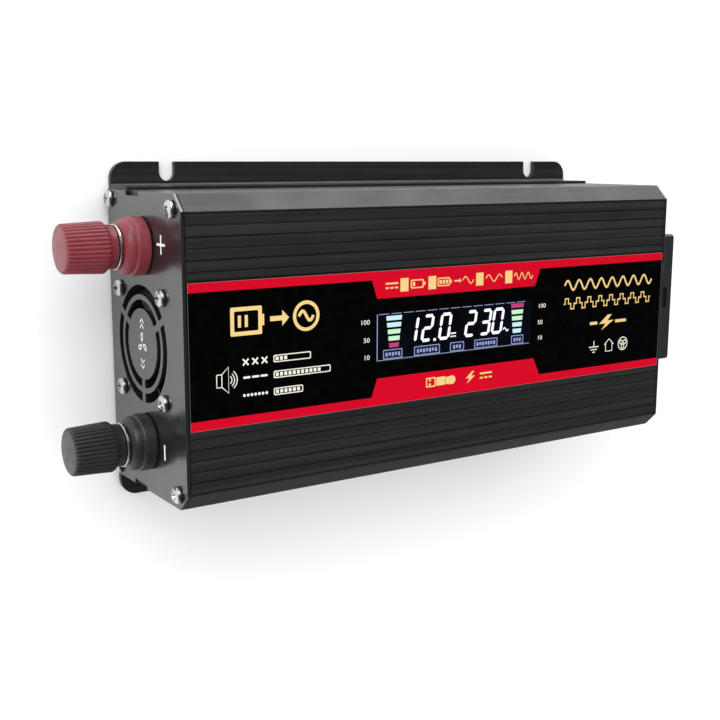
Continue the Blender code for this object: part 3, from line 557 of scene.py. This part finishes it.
def screw_mesh(length):
    """A pan-head machine screw about local Z, its head seated on Z = 0, with a rolled thread."""
    head, height, shank, pitch = 0.0027, 0.0019, 0.00148, 0.0005
    profile = [(0, height)] + [
        (head * math.sin(math.radians(a)), 0.0009 + (height - 0.0009) * math.cos(math.radians(a)))
        for a in range(10, 91, 10)
    ]
    profile += [(head, 0.0004), (head - 0.0001, 0.0003), (shank, 0.0003)]
    count = int(length / pitch)
    for i in range(count):
        top = -i * pitch
        profile += [(shank, top), (shank - 0.00028, top - pitch / 2)]
    profile += [(shank * 0.7, -length + 0.0001), (0, -length + 0.0001)]
    screw = revolve("screw", profile, 32)
    recess = cross_recess()
    recess.location.z = height + 0.0002
    for obj in (screw, recess):
        bpy.context.scene.collection.objects.link(obj)
    cut = screw.modifiers.new("recess", "BOOLEAN")
    cut.object = recess
    bpy.context.view_layer.update()
    graph = bpy.context.evaluated_depsgraph_get()
    mesh = bpy.data.meshes.new_from_object(screw.evaluated_get(graph))
    mesh.shade_smooth()
    mesh.set_sharp_from_angle(angle=math.radians(40))
    for obj in (screw, recess):
        bpy.data.objects.remove(obj)
    return mesh


def make_screws():
    """Each screw shows its head turned its own way, as hand-driven screws do."""
    spin = random.Random(7)
    short, long = screw_mesh(0.0080), screw_mesh(0.0100)
    for node in sorted(n for n in frame["nodes"] if "_screw_" in n):
        low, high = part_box(node)
        y, z = (low.y + high.y) / 2, (low.z + high.z) / 2
        facing = out_of_outlet_end if node.startswith("ac") else out_of_battery_end
        screw = bpy.data.objects.new(node, long if node.startswith("fan") else short)
        turn = Matrix.Rotation(spin.uniform(0, math.pi / 2), 4, "Z")
        screw.matrix_world = facing(y, z) @ turn
        bpy.context.scene.collection.objects.link(screw)
        standing_for(screw, node)


# Battery posts


def collar_profile(height, radius, bore, foot):
    """A boot in two rounded tiers, from the bore's mouth down the outside to the panel."""
    front = radius - 0.0005
    profile = [(bore, height - 0.0007), (bore + 0.0014, height - 0.0004), (bore + 0.0018, height)]
    profile += arc((front - 0.0028, height - 0.0028), 0.0028, 86, 8, 10)
    profile += [(front, height - 0.0030), (front - 0.0002, 0.0050), (front - 0.0001, 0.0048)]
    profile += arc((radius - 0.0009, 0.0038), 0.0009, 72, 0, 6)
    profile += [(radius, 0.0006), (radius - 0.0003, 0.0003), (foot, 0.0003)]
    return profile + [(foot, -0.0018), (bore, -0.0018)]


def knob_profile(low, tip, radius, bore):
    """From the centre of the domed tip, down the tapered grip and the neck, and up the blind bore."""
    neck = KNOB_NECK_RADIUS
    edge = 0.0009
    crown = [(KNOB_TIP_RADIUS * share, tip - 0.00035 * share**2) for share in (0, 0.3, 0.6, 0.8)]
    crown += arc((KNOB_TIP_RADIUS - edge, tip - 0.0003 - edge), edge, 78, 0, 6)
    stations, start = 16, tip - 0.0003 - edge
    for i in range(1, stations + 1):
        share = i / stations
        reach = KNOB_TIP_RADIUS + (radius - KNOB_TIP_RADIUS) * share
        crown.append((reach, start + (KNOB_SHOULDER + 0.0003 - start) * share))
    slope = [(radius - 0.0002, KNOB_SHOULDER), (neck + 0.0002, KNOB_SHOULDER - 0.0007)]
    slope += [(neck, KNOB_SHOULDER - 0.0010), (neck, low + 0.0002), (neck - 0.0002, low)]
    blind = [(bore + 0.0003, low), (bore, low + 0.0003), (bore, tip - 0.0036), (0, tip - 0.0036)]
    return crown + slope + blind


def fluted(radius, height, angle):
    """Rounded ridges with narrow grooves between them, from the shoulder to the edge of the tip."""
    if height < KNOB_SHOULDER - 0.0001 or radius < KNOB_TIP_RADIUS - 0.0006:
        return radius
    groove = abs(math.cos(angle * KNOB_FLUTES / 2)) ** 5
    return radius - KNOB_FLUTE_DEPTH * groove


def make_post(sign):
    panel_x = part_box("dc_end_panel")[0].x
    low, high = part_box(f"{sign}_collar")
    y, z = (low.y + high.y) / 2, (low.z + high.z) / 2
    at = out_of_battery_end(y, z)
    radius, height = (high.y - low.y) / 2, panel_x - low.x
    bore = STUD_HOLE_RADIUS
    collar = revolve("collar", collar_profile(height, radius, bore, foot=0.0048), 96)
    collar.matrix_world = at
    standing_for(collar, f"{sign}_collar")

    low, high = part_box(f"{sign}_knob")
    tip, neck_low, grip = panel_x - low.x, panel_x - high.x, (high.y - low.y) / 2
    profile = knob_profile(neck_low, tip, grip, bore)
    knob = revolve("knob", profile, KNOB_FLUTES * 12, fluted)
    knob.matrix_world = at
    standing_for(knob, f"{sign}_knob")

    low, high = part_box(f"{sign}_washer")
    top, bottom, rim = panel_x - low.x, panel_x - high.x, (high.y - low.y) / 2
    soft = 0.0002
    ring = [(bore, top - soft), (bore + soft, top), (rim - soft, top), (rim, top - soft)]
    ring += [(rim, bottom + soft), (rim - soft, bottom), (bore + soft, bottom), (bore, bottom + soft)]
    washer = revolve("washer", ring + ring[:1], 64)
    washer.matrix_world = at
    standing_for(washer, f"{sign}_washer")
    for node in (f"{sign}_stud", f"{sign}_lock_nut", f"{sign}_cable"):
        refine(node, 0.00015)


# Fan


def fan_blade(index, count):
    """One blade: a cambered strip, twisted from root to tip."""
    root, tip, stations, across = 0.0094, 0.0181, 8, 8
    vertices, faces = [], []
    for side in (0.5, -0.5):
        for i in range(stations + 1):
            share = i / stations
            radius = root + (tip - root) * share
            pitch = math.radians(46 - 16 * share)
            chord = 0.0074 + 0.0012 * share
            for j in range(across + 1):
                along = (j / across - 0.5) * chord
                camber = 0.0007 * (1 - (2 * j / across - 1) ** 2)
                thick = side * 0.0009 * (1 - 0.6 * abs(2 * j / across - 1) ** 2)
                up = camber + thick
                sweep = along * math.cos(pitch) - up * math.sin(pitch)
                height = along * math.sin(pitch) + up * math.cos(pitch)
                angle = 2 * math.pi * index / count + sweep / radius + 0.25 * share
                vertices.append((radius * math.cos(angle), radius * math.sin(angle), height))
    row, sheet = across + 1, (across + 1) * (stations + 1)
    for i in range(stations):
        for j in range(across):
            a = i * row + j
            faces.append([a, a + row, a + row + 1, a + 1])
            faces.append([sheet + a, sheet + a + 1, sheet + a + row + 1, sheet + a + row])
    rim = [i * row for i in range(stations + 1)] + [stations * row + j for j in range(1, row)]
    rim += [i * row + across for i in range(stations - 1, -1, -1)] + [j for j in range(across - 1, 0, -1)]
    for a, b in zip(rim, rim[1:] + rim[:1]):
        faces.append([a, b, b + sheet, a + sheet])
    return vertices, faces


def make_fan():
    low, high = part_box("fan_frame")
    y, z = (low.y + high.y) / 2, (low.z + high.z) / 2
    middle = (low.x + high.x) / 2
    at = out_of_battery_end(y, z, middle)
    hub = [(0, 0.0042), (0.0060, 0.0042), (0.0062, 0.0041), (0.0090, 0.0041)]
    hub += arc((0.0090, 0.0031), 0.0010, 80, 0, 5)
    hub += [(0.0100, -0.0030), (0.0086, -0.0030), (0.0086, 0.0028)]
    hub += [(0.0013, 0.0028), (0.0013, -0.0030), (0, -0.0030)]
    turned = revolve("hub", hub, 48)
    vertices = [tuple(v.co) for v in turned.data.vertices]
    faces = [list(f.vertices) for f in turned.data.polygons]
    bpy.data.objects.remove(turned)
    for index in range(FAN_BLADES):
        more, sides = fan_blade(index, FAN_BLADES)
        faces += [[v + len(vertices) for v in face] for face in sides]
        vertices += more
    rotor = mesh_object("rotor", vertices, faces)
    rotor.matrix_world = at
    standing_for(rotor, "fan_rotor")
    refine("fan_frame", 0.0003)
    refine("fan_stator", 0.0002)


# Label and display


def on_label(x=0.0, y=0.0, lift=LIFT):
    """Local X and Y along the label, on its printed face."""
    return Matrix.Translation((x, y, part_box("label_overlay")[1].z + lift))


def ring_of(outline, width):
    """An outline and the same outline drawn in by width: together they fill as a frame."""
    cx = sum(x for x, _ in outline) / len(outline)
    cy = sum(y for _, y in outline) / len(outline)
    inner = []
    for x, y in outline:
        sx, sy = x - cx, y - cy
        inset_x = math.copysign(min(width, abs(sx)), sx)
        inset_y = math.copysign(min(width, abs(sy)), sy)
        inner.append((cx + sx - inset_x, cy + sy - inset_y))
    return [outline, inner]


def cross(x, y, size, width, turn=0.0):
    """A plus sign, as one outline."""
    a, b = size / 2, width / 2
    points = [(b, a), (-b, a), (-b, b), (-a, b), (-a, -b), (-b, -b)]
    points += [(-px, -py) for px, py in points]
    c, s = math.cos(math.radians(turn)), math.sin(math.radians(turn))
    return [(x + px * c - py * s, y + px * s + py * c) for px, py in points]


def battery(x, y, width, height, cells, line=0.4):
    """A battery's outline with its terminal at the right, and some cells filled."""
    shapes = ring_of(box(x, y - height / 2, x + width, y + height / 2, 0.4), line)
    shapes.append(box(x + width + 0.05, y - height / 5, x + width + 0.75, y + height / 5))
    pitch = (width - 3 * line) / 3
    for i in range(cells):
        left = x + 2 * line + i * pitch
        shapes.append(box(left, y - height / 2 + 2 * line, left + pitch - line, y + height / 2 - 2 * line))
    return shapes


def arrow(x, y, length, width, head):
    """An arrow to the right, as one outline."""
    neck = x + length - head
    half = width / 2
    below = [(x, y - half), (neck, y - half), (neck, y - head)]
    return below + [(x + length, y), (neck, y + head), (neck, y + half), (x, y + half)]


def sine(x0, x1, y, height, periods, segments=14):
    count = int(segments * periods)
    return [
        (x0 + (x1 - x0) * i / count, y + height * math.sin(2 * math.pi * periods * i / count))
        for i in range(count + 1)
    ]


def steps(x0, x1, y, height, periods):
    """A stepped wave: up, level, down, level."""
    points, pitch = [], (x1 - x0) / periods
    rise = [(0.0, 0), (0.12, 0), (0.12, 1), (0.40, 1), (0.40, 0)]
    fall = [(0.62, 0), (0.62, -1), (0.90, -1), (0.90, 0)]
    for i in range(periods):
        left = x0 + i * pitch
        for share, level in rise + fall:
            points.append((left + share * pitch, y + level * height))
    return points + [(x1, y)]


def direct_current(x, y, width, line=0.55, gap=0.85):
    """A solid bar over three dashes."""
    shapes = [box(x, y + gap / 2, x + width, y + gap / 2 + line)]
    dash = width / 4
    for i in range(3):
        left = x + i * (width - dash) / 2
        shapes.append(box(left, y - gap / 2 - line, left + dash, y - gap / 2))
    return shapes


def make_red_bands():
    """The label's red bands, each with a tongue towards the display, and a pale frame round the film's cut
    edge: a painted highlight where that edge catches light.
    """
    low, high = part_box("label_overlay")
    x0, x1, y0, y1 = (v / MM for v in (low.x, high.x, low.y, high.y))
    at = on_label()
    edge = 0.12
    left, right = x0 + edge, x1 - edge
    upper = [(left, 18.8), (-35.5, 18.8), (-33.4, 12.75), (34.2, 12.75), (36.6, 18.8), (right, 18.8)]
    upper += [(right, y1 - edge), (left, y1 - edge)]
    lower = [(left, -19.3), (-35.5, -19.3), (-33.3, -13.2), (34.6, -13.2), (37.5, -19.3), (right, -19.3)]
    lower += [(right, y0 + edge), (left, y0 + edge)]
    flat("label_red_bands", [upper, lower], PRINT, "red_ink", at)
    # A thin pale frame round the label: a painted highlight of the film's cut edge catching light.
    flat("label_edge_highlight", ring_of(box(x0, y0, x1, y1), edge), 0.00003, "painted_edge_highlight", at)


def make_gold_marks():
    """Left of the display: a battery, an arrow and a wave. Right of it: two waves and small symbols."""
    ink = on_label()
    shapes = battery(-86, 9.4, 10.6, 8.6, 2, 1.25)
    shapes.append(arrow(-72.6, 9.4, 6.6, 1.5, 2.4))
    shapes += [arc((-59.9, 9.4), 4.75, 0, 360, 40)[:-1], arc((-59.9, 9.4), 3.65, 0, 360, 40)[:-1]]
    flat("label_power_marks", shapes, PRINT, "gold_ink", ink)
    strokes("label_power_wave", [sine(-62.5, -57.3, 9.4, 1.5, 1, 20)], 1.1, "gold_ink", ink)
    strokes("label_sine_row", [sine(48.8, 94.2, 11.9, 1.75, 8)], 0.85, "gold_ink", ink)
    strokes("label_step_row", [steps(48.6, 93.8, 5.2, 1.9, 8)], 0.70, "gold_ink", ink)
    bolt = [(71.4, -0.2), (66.9, -3.5), (70.3, -3.5), (68.2, -5.9), (74.6, -2.4), (71.3, -2.4), (73.4, -0.2)]
    dashes = [box(62.2, -3.5, 66.0, -2.4), box(75.4, -3.5, 81.2, -2.4)]
    flat("label_bolt", [bolt] + dashes, PRINT, "gold_ink", ink)


def make_symbols():
    """Generic symbols under the right-hand marks: earth, indoor use, fan-cooled."""
    ink = on_label()
    earth = [[(64.7, -9.6), (64.7, -11.9)], [(62.2, -11.9), (67.2, -11.9)]]
    earth += [[(63.1, -12.9), (66.3, -12.9)], [(64.0, -13.9), (65.4, -13.9)]]
    house = [[(70.2, -11.6), (72.6, -9.5), (75.0, -11.6)]]
    house += [[(70.9, -11.2), (70.9, -14.1), (74.3, -14.1), (74.3, -11.2)]]
    x, y = 80.0, -11.9
    circle = [arc((x, y), 2.4, 0, 360, 28)]
    centres = [(x + 1.1 * math.cos(angle), y + 1.1 * math.sin(angle)) for angle in (0.5, 2.6, 4.7)]
    blades = [arc(centre, 0.75, 0, 360, 12) for centre in centres]
    strokes("label_symbols", earth + house + circle + blades, 0.42, "pale_ink", ink)


def make_sound_legend():
    """A loudspeaker, three sound patterns, and a level bar for each."""
    ink = on_label()
    horn = [(-90.8, -6.0), (-89.1, -6.0), (-86.9, -3.9), (-86.9, -11.8), (-89.1, -9.8), (-90.8, -9.8)]
    speaker = [horn + horn[:1], [(-89.1, -6.0), (-89.1, -9.8)]]
    speaker += [arc((-87.2, -7.9), r, -52, 52, 12) for r in (1.4, 2.3, 3.2)]
    strokes("label_speaker", speaker, 0.36, "pale_ink", ink)
    crosses = [cross(x, -2.95, 2.7, 0.5, 45) for x in (-81.1, -77.9, -74.7)]
    flat("label_crosses", crosses, PRINT, "pale_ink", ink)
    marks = [box(x, -8.0, x + 2.4, -7.35, 0.2) for x in (-82.0, -79.0, -76.1)]
    marks += [arc((-81.7 + i * 1.27, -13.1), 0.46, 0, 360, 12)[:-1] for i in range(7)]
    for x1, y, fill in ((-58.3, -2.9, 0.35), (-51.1, -7.8, 0.92), (-61.2, -13.1, 1.0)):
        x0 = -71.6
        marks += ring_of(box(x0, y - 1.15, x1, y + 1.15, 0.5), 0.32)
        blocks = int((x1 - x0 - 1.2) / 1.5)
        for i in range(int(blocks * fill + 0.5)):
            left = x0 + 0.75 + i * 1.5
            marks.append(box(left, y - 0.55, left + 1.0, y + 0.55))
    flat("label_sound_marks", marks, PRINT, "pale_ink", ink)


def make_band_marks():
    """On the red: which battery goes in and which wave comes out, then the low-voltage port."""
    ink = on_label(lift=LIFT + PRINT)
    y = 16.7
    solid = [box(x, y - 2.2, x + 3.2, y + 2.15) for x in (-24.35, -13.0, 7.3, 20.3)]
    flat("label_tick_boxes", solid, PRINT, "gold_ink", ink)
    marks = direct_current(-30.2, y, 4.9)
    marks += battery(-20.2, y, 5.2, 2.9, 1) + battery(-9.2, y, 5.2, 2.9, 3)
    marks += [arrow(-2.1, y, 3.0, 0.5, 0.8)]
    marks += ring_of(box(-13.4, -18.5, -9.4, -15.2, 0.3), 0.45)
    marks += [box(-12.2, -17.9, -11.4, -17.2), box(-12.2, -16.5, -11.4, -15.8)]
    marks += [box(-9.1, -18.3, -5.2, -15.4, 0.3)]
    marks += direct_current(9.9, -16.9, 5.4, 0.6, 0.95)
    bolt = [(6.4, -14.9), (3.6, -17.2), (5.3, -17.2), (4.2, -19.0), (7.7, -16.5), (5.9, -16.5), (7.3, -14.9)]
    flat("label_band_marks", marks + [bolt], PRINT, "gold_ink", ink)
    waves = [sine(1.5, 6.2, y, 1.2, 1, 20), sine(11.6, 18.9, y, 1.15, 1.5), sine(24.4, 33.0, y, 1.15, 3)]
    cord = [arc((-2.6, -16.95), 0.6, 0, 360, 10)]
    strokes("label_band_waves", waves + cord, 0.42, "gold_ink", ink)
    plug = arc((-2.4, -16.95), 1.5, -90, 90, 12) + arc((-4.2, -16.95), 1.3, 90, 270, 8)
    flat("label_plug", [plug], PRINT, "gold_ink", ink)


def make_scales():
    """Short scales of 100, 50 and 10 on both sides of the display."""
    rows = ((5.55, "100"), (-0.3, "50"), (-5.9, "10"))
    for side, x, align in (("left", -36.2, "RIGHT"), ("right", 36.0, "LEFT")):
        for y, text in rows:
            words = bpy.data.curves.new(f"scale_{side}_{text}", "FONT")
            words.body = text
            words.size = 2.2 * MM
            words.align_x = align
            words.extrude = 0.00002
            words.resolution_u = 3
            obj = bpy.data.objects.new(words.name, words)
            obj.matrix_world = on_label(x * MM, (y - 0.8) * MM) @ Matrix.Diagonal((1.15, 1, 1, 1))
            bpy.context.scene.collection.objects.link(obj)
            finished(obj, words.name, "pale_ink")


def segment(points, width):
    """A bar between two points, pointed at both ends."""
    (x0, y0), (x1, y1) = points
    length = math.hypot(x1 - x0, y1 - y0)
    ux, uy = (x1 - x0) / length, (y1 - y0) / length
    h = width / 2
    start, start_wide = (x0, y0, 0.12), (x0, y0, h * 1.1)
    end, end_wide = (x1, y1, -0.12), (x1, y1, -h * 1.1)
    ends = (start, start_wide, end_wide, end, end_wide, start_wide)
    across = (0, h, h, 0, -h, -h)
    return [(x + ux * t - uy * s, y + uy * t + ux * s) for (x, y, t), s in zip(ends, across)]


def digit(figure, x, width, low=-2.45, high=5.65, slant=0.165, line=1.05):
    """The lit segments of one figure, leaning to the right."""
    middle = (low + high) / 2
    place = {
        "a": ((x, high), (x + width, high)),
        "b": ((x + width, high), (x + width, middle)),
        "c": ((x + width, middle), (x + width, low)),
        "d": ((x, low), (x + width, low)),
        "e": ((x, middle), (x, low)),
        "f": ((x, high), (x, middle)),
        "g": ((x, middle), (x + width, middle)),
    }
    shapes = []
    for name in LIT_SEGMENTS[figure]:
        outline = segment(place[name], line)
        shapes.append([(px + slant * (py - low), py) for px, py in outline])
    return shapes


def level_bars(centre, top, wide_at_top, wide_at_bottom):
    """Five bars, narrower towards the bottom."""
    bars, pitch, height = [], 2.23, 1.48
    whole = 4 * pitch + height
    for i in range(5):
        half = [
            (wide_at_top + (wide_at_bottom - wide_at_top) * depth / whole) / 2
            for depth in (i * pitch, i * pitch + height)
        ]
        y = top - i * pitch
        low = y - height
        above = [(centre - half[0], y), (centre + half[0], y)]
        bars.append(above + [(centre + half[1], low), (centre - half[1], low)])
    return bars


def make_panel_and_film(depth):
    """The display window as a dark panel up to this height, and a clear film over it."""
    low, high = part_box("display_window")
    panel = clean_copy("display_window")
    for vertex in panel.data.vertices:
        vertex.co.z = min(vertex.co.z, depth)
    finished(panel, "display_panel", "display_glass")
    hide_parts("display_window")
    outline = box(low.x / MM, low.y / MM, high.x / MM, high.y / MM)
    at = Matrix.Translation((0, 0, high.z - 0.00006))
    film = flat("display_film", [outline], 0, "clear_plastic", at)
    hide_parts("display_window")


def make_figures(lcd):
    """Two readings, the first with a direct-current sign and the second with an alternating-current one."""
    figures = digit("1", -21.8, 4.0) + digit("2", -15.0, 3.5) + digit("0", -7.75, 3.8)
    figures += digit("2", 3.45, 3.6) + digit("3", 10.1, 3.5) + digit("0", 15.3, 3.9)
    figures.append(box(-10.1, -3.0, -9.15, -2.1))
    flat("display_figures", figures, SEGMENT, "lit_white", lcd)
    flat("display_direct_sign", direct_current(-2.9, -1.6, 2.3, 0.45, 0.6), SEGMENT, "lit_white", lcd)
    strokes("display_alternating_sign", [sine(20.5, 22.9, -1.7, 0.6, 1, 20)], 0.42, "lit_white", lcd)


def make_level_bars(lcd):
    left, right = level_bars(-26.3, 6.8, 6.3, 3.7), level_bars(26.85, 7.05, 5.9, 3.7)
    flat("display_bars_blue", left[:2] + right[3:], SEGMENT, "lit_blue", lcd)
    flat("display_bars_green", left[2:4] + right[1:3], SEGMENT, "lit_green", lcd)
    flat("display_bars_magenta", left[4:] + right[:1], SEGMENT, "lit_magenta", lcd)


def make_display_tags(lcd):
    """Framed fields along the display's foot, each with a row of blank dashes."""
    tags = ((-30.6, -22.9), (-18.1, -7.4), (-3.0, 3.0), (7.6, 17.9), (24.3, 29.9))
    flat("display_tag_fields", [box(a, -7.3, b, -4.2, 0.3) for a, b in tags], 0.00002, "dim_blue", lcd)
    rims, dashes = [], []
    for a, b in tags:
        rims += ring_of(box(a, -7.3, b, -4.2, 0.35), 0.25)
        count = int((b - a - 1.4) / 1.25)
        for i in range(count):
            left_edge = (a + b) / 2 + (i - (count - 1) / 2) * 1.25 - 0.38
            dashes.append(box(left_edge, -6.45 + 0.25 * (i % 2), left_edge + 0.76, -5.2))
    above = lcd @ Matrix.Translation((0, 0, LIFT))
    flat("display_tag_rims", rims + dashes, SEGMENT, "lit_legend", above)


def make_display_rule(lcd):
    """A thin line round the display, broken into dashes along its top."""
    low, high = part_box("display_window")
    x0, x1 = low.x / MM, high.x / MM
    rule = [box(x0 + 0.1, -7.62, x0 + 0.38, 7.6), box(x0 + 0.45, -7.62, x1 - 0.4, -7.44)]
    rule += [box(x0 + 0.9 + i * 4.9, 7.42, x0 + 4.9 + i * 4.9, 7.6) for i in range(13)]
    flat("display_rule", rule, 0.00002, "lit_legend", lcd)


def make_display():
    """A dark panel with lit figures and bars, under a clear window."""
    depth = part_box("display_window")[1].z - 0.00035
    make_panel_and_film(depth)
    lcd = Matrix.Translation((0, 0, depth + LIFT))
    make_figures(lcd)
    make_level_bars(lcd)
    make_display_tags(lcd)
    make_display_rule(lcd)
    refine("display_module", 0.0003)
    refine("display_board", 0.0002)


# Marks on the battery end


def make_panel_marks():
    """Plus and minus beside the posts, and a fan between two arrows on the grille's hub."""
    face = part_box("dc_end_panel")[0].x - 0.00003
    at = out_of_battery_end(0, 0, face)
    marks = [cross(43.0, 31.8, 5.7, 0.75), box(41.1, -34.0, 41.95, -29.1, 0.2)]
    flat("panel_polarity_marks", marks, 0.00005, "white_ink", at)
    centre = (26.8, 0.1)
    leaf = [(0.7, 0.0), (1.3, 0.75), (2.4, 0.95), (3.3, 0.35), (3.2, -0.35), (2.2, -0.35), (0.7, 0.0)]
    lines = []
    for turn in (90, 210, 330):
        c, s = math.cos(math.radians(turn)), math.sin(math.radians(turn))
        lines.append([(centre[0] + x * c - y * s, centre[1] + x * s + y * c) for x, y in leaf])
    for side in (1, -1):
        for offset in (5.2, 6.9):
            tip = centre[1] + side * (offset + 0.9)
            foot = tip - side * 1.2
            lines.append([(centre[0] - 1.3, foot), (centre[0], tip), (centre[0] + 1.3, foot)])
    strokes("panel_fan_mark", lines, 0.55, "white_ink", at)


# Outlet end


def make_outlet():
    refine("outlet_housing", 0.0003)
    refine("outlet_back_cover", 0.0002)
    for node in ("live_contact", "neutral_contact", "earth_contact"):
        refine(node, 0.0001)
    low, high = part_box("outlet_housing")
    y, z = (low.y + high.y) / 2, (low.z + high.z) / 2
    at = out_of_outlet_end(y, z, high.x - 0.0038)
    profile = [(0.0188, 0.0004), (0.0186, 0.0007), (0.0180, 0.0007), (0.0178, 0.0004)]
    profile += [(0.0178, 0.0), (0.0188, 0.0)]
    rib = revolve("rib", profile + profile[:1], 96)
    rib.matrix_world = at
    finished(rib, "outlet_inner_rib", "black_plastic")


def make_switch():
    """The housing, and the rocker with a ring on its off half, pressed in at rest, and a bar on the other."""
    refine("switch_housing", 0.0002)
    refine("power_rocker", 0.0003, 3)
    low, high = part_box("power_rocker")
    pivot = next(joint["pos_m"] for joint in frame["joints"] if joint["name"] == "power_switch")
    middle = Matrix.Translation((pivot[0], (low.y + high.y) / 2, pivot[2]))
    level = middle @ Matrix.Rotation(-ROCKER_TILT, 4, "Y")
    ring = [arc((0, 0), radius, 0, 360, 32)[:-1] for radius in (1.25, 0.8)]
    for name, side, marks in (("off", 1, ring), ("on", -1, [box(-1.25, -0.25, 1.25, 0.25)])):
        half = level @ Matrix.Translation((ROCKER_RISE, 0, side * ROCKER_REACH))
        at = half @ Matrix.Rotation(math.radians(90) + side * ROCKER_SLOPE, 4, "Y")
        flat(f"switch_{name}_mark", marks, PRINT, "white_plastic", at, "power_rocker")


def make_usb():
    refine("usb_shell", 0.0001)
    refine("usb_tongue", 0.0001)
    refine("usb_board", 0.0002)


def make_electronics():
    for node in sorted(frame["nodes"]):
        if frame["nodes"][node].hide_render:
            continue
        refine(node, 0.0002)


# Studio


def rectangle(low, high):
    """The corners of a rectangle that lies on the floor's plane."""
    return [(low[0], low[1], 0), (high[0], low[1], 0), (high[0], high[1], 0), (low[0], high[1], 0)]


def make_floor():
    surface = Surface("floor", FLOOR, 0.7, **{"Specular IOR Level": 0.0})
    surface.colours(surface.noise(3), scaled(FLOOR, 0.985), FLOOR)
    floor = mesh_object("floor", rectangle((-6, -6), (6, 6)), [[0, 1, 2, 3]])
    floor.data.materials.append(surface.material)
    bpy.context.scene.collection.objects.link(floor)
    floor.location.z = -0.0002


def make_flag():
    """A dark card on the floor beside the case, which only reflections see."""
    flag = mesh_object("flag", rectangle((-0.11, -0.75), (0.60, -0.068)), [[0, 1, 2, 3]])
    flag.data.materials.append(Surface("flag", (0.13, 0.13, 0.13), 0.9).material)
    bpy.context.scene.collection.objects.link(flag)
    flag.visible_camera = flag.visible_diffuse = flag.visible_shadow = False


def make_sky(irradiance):
    """Even light from above that casts only the softest shadows."""
    light = bpy.data.lights.new("sky", "SUN")
    light.energy = irradiance
    light.angle = math.radians(120)
    obj = bpy.data.objects.new("sky", light)
    obj.rotation_euler = Vector((0.25, -0.35, -0.90)).to_track_quat("-Z", "Y").to_euler()
    obj.visible_glossy = False
    bpy.context.scene.collection.objects.link(obj)


def softbox(name, location, size, radiance, glossy_only=False):
    """A large area light that faces the case. With glossy_only it shows in reflections and lights nothing."""
    light = bpy.data.lights.new(name, "AREA")
    light.shape = "RECTANGLE"
    light.size, light.size_y = size
    light.energy = radiance * math.pi * size[0] * size[1]
    obj = bpy.data.objects.new(name, light)
    aim = Vector((0, 0, 0.03)) - Vector(location)
    obj.location = location
    obj.rotation_euler = aim.to_track_quat("-Z", "Y").to_euler()
    obj.visible_diffuse = not glossy_only
    bpy.context.scene.collection.objects.link(obj)


def make_world():
    """Pale to the camera and to matt surfaces. In reflections only the horizon is bright."""
    world = bpy.data.worlds.new("studio")
    world.use_nodes = True
    bpy.context.scene.world = world
    tree = world.node_tree
    link = tree.links.new
    background = tree.nodes["Background"]
    background.inputs["Color"].default_value = (0.97, 0.98, 1.0, 1)
    path = tree.nodes.new("ShaderNodeLightPath")
    direction = tree.nodes.new("ShaderNodeSeparateXYZ")
    link(tree.nodes.new("ShaderNodeTexCoord").outputs["Generated"], direction.inputs[0])
    horizon = tree.nodes.new("ShaderNodeMapRange")
    link(direction.outputs["Z"], horizon.inputs["Value"])
    for key, value in (("From Min", 0.05), ("From Max", 0.55), ("To Min", 0.60), ("To Max", 0.03)):
        horizon.inputs[key].default_value = value
    reflected = tree.nodes.new("ShaderNodeMix")
    link(path.outputs["Is Glossy Ray"], reflected.inputs["Factor"])
    reflected.inputs["A"].default_value = 0.95
    link(horizon.outputs["Result"], reflected.inputs["B"])
    shown = tree.nodes.new("ShaderNodeMix")
    link(path.outputs["Is Camera Ray"], shown.inputs["Factor"])
    link(reflected.outputs["Result"], shown.inputs["A"])
    shown.inputs["B"].default_value = 1.0
    link(shown.outputs["Result"], background.inputs["Strength"])


def make_studio():
    make_floor()
    make_world()
    make_flag()
    make_sky(0.9)
    softbox("key", (-0.55, 0.80, 0.75), (1.1, 0.8), 3.2)
    softbox("strip_left", (0.42, 1.10, 0.27), (0.7, 0.54), 4.6, glossy_only=True)
    softbox("strip_right", (1.05, 0.75, 0.27), (0.5, 0.54), 3.4, glossy_only=True)


def make_camera():
    """Looks down on the label from beyond the battery end, with +Y up the picture."""
    camera = bpy.data.cameras.new("camera")
    camera.sensor_width = 36
    camera.lens = CAMERA_LENS
    camera.clip_start = 0.02
    camera.clip_end = 30
    obj = bpy.data.objects.new("camera", camera)
    bpy.context.scene.collection.objects.link(obj)
    forward, right = CAMERA_FORWARD.normalized(), CAMERA_RIGHT.normalized()
    turn = Matrix((right, right.cross(forward), -forward)).transposed()
    obj.matrix_world = Matrix.Translation(CAMERA_PLACE) @ turn.to_4x4()
    bpy.context.scene.camera = obj


def build():
    bpy.context.scene.view_settings.view_transform = "Standard"
    make_case()
    make_screws()
    make_post("positive")
    make_post("negative")
    make_fan()
    make_red_bands()
    make_gold_marks()
    make_symbols()
    make_sound_legend()
    make_band_marks()
    make_scales()
    make_display()
    make_panel_marks()
    make_outlet()
    make_switch()
    make_usb()
    make_electronics()
    make_studio()
    make_camera()


build()
bpy.context.view_layer.update()
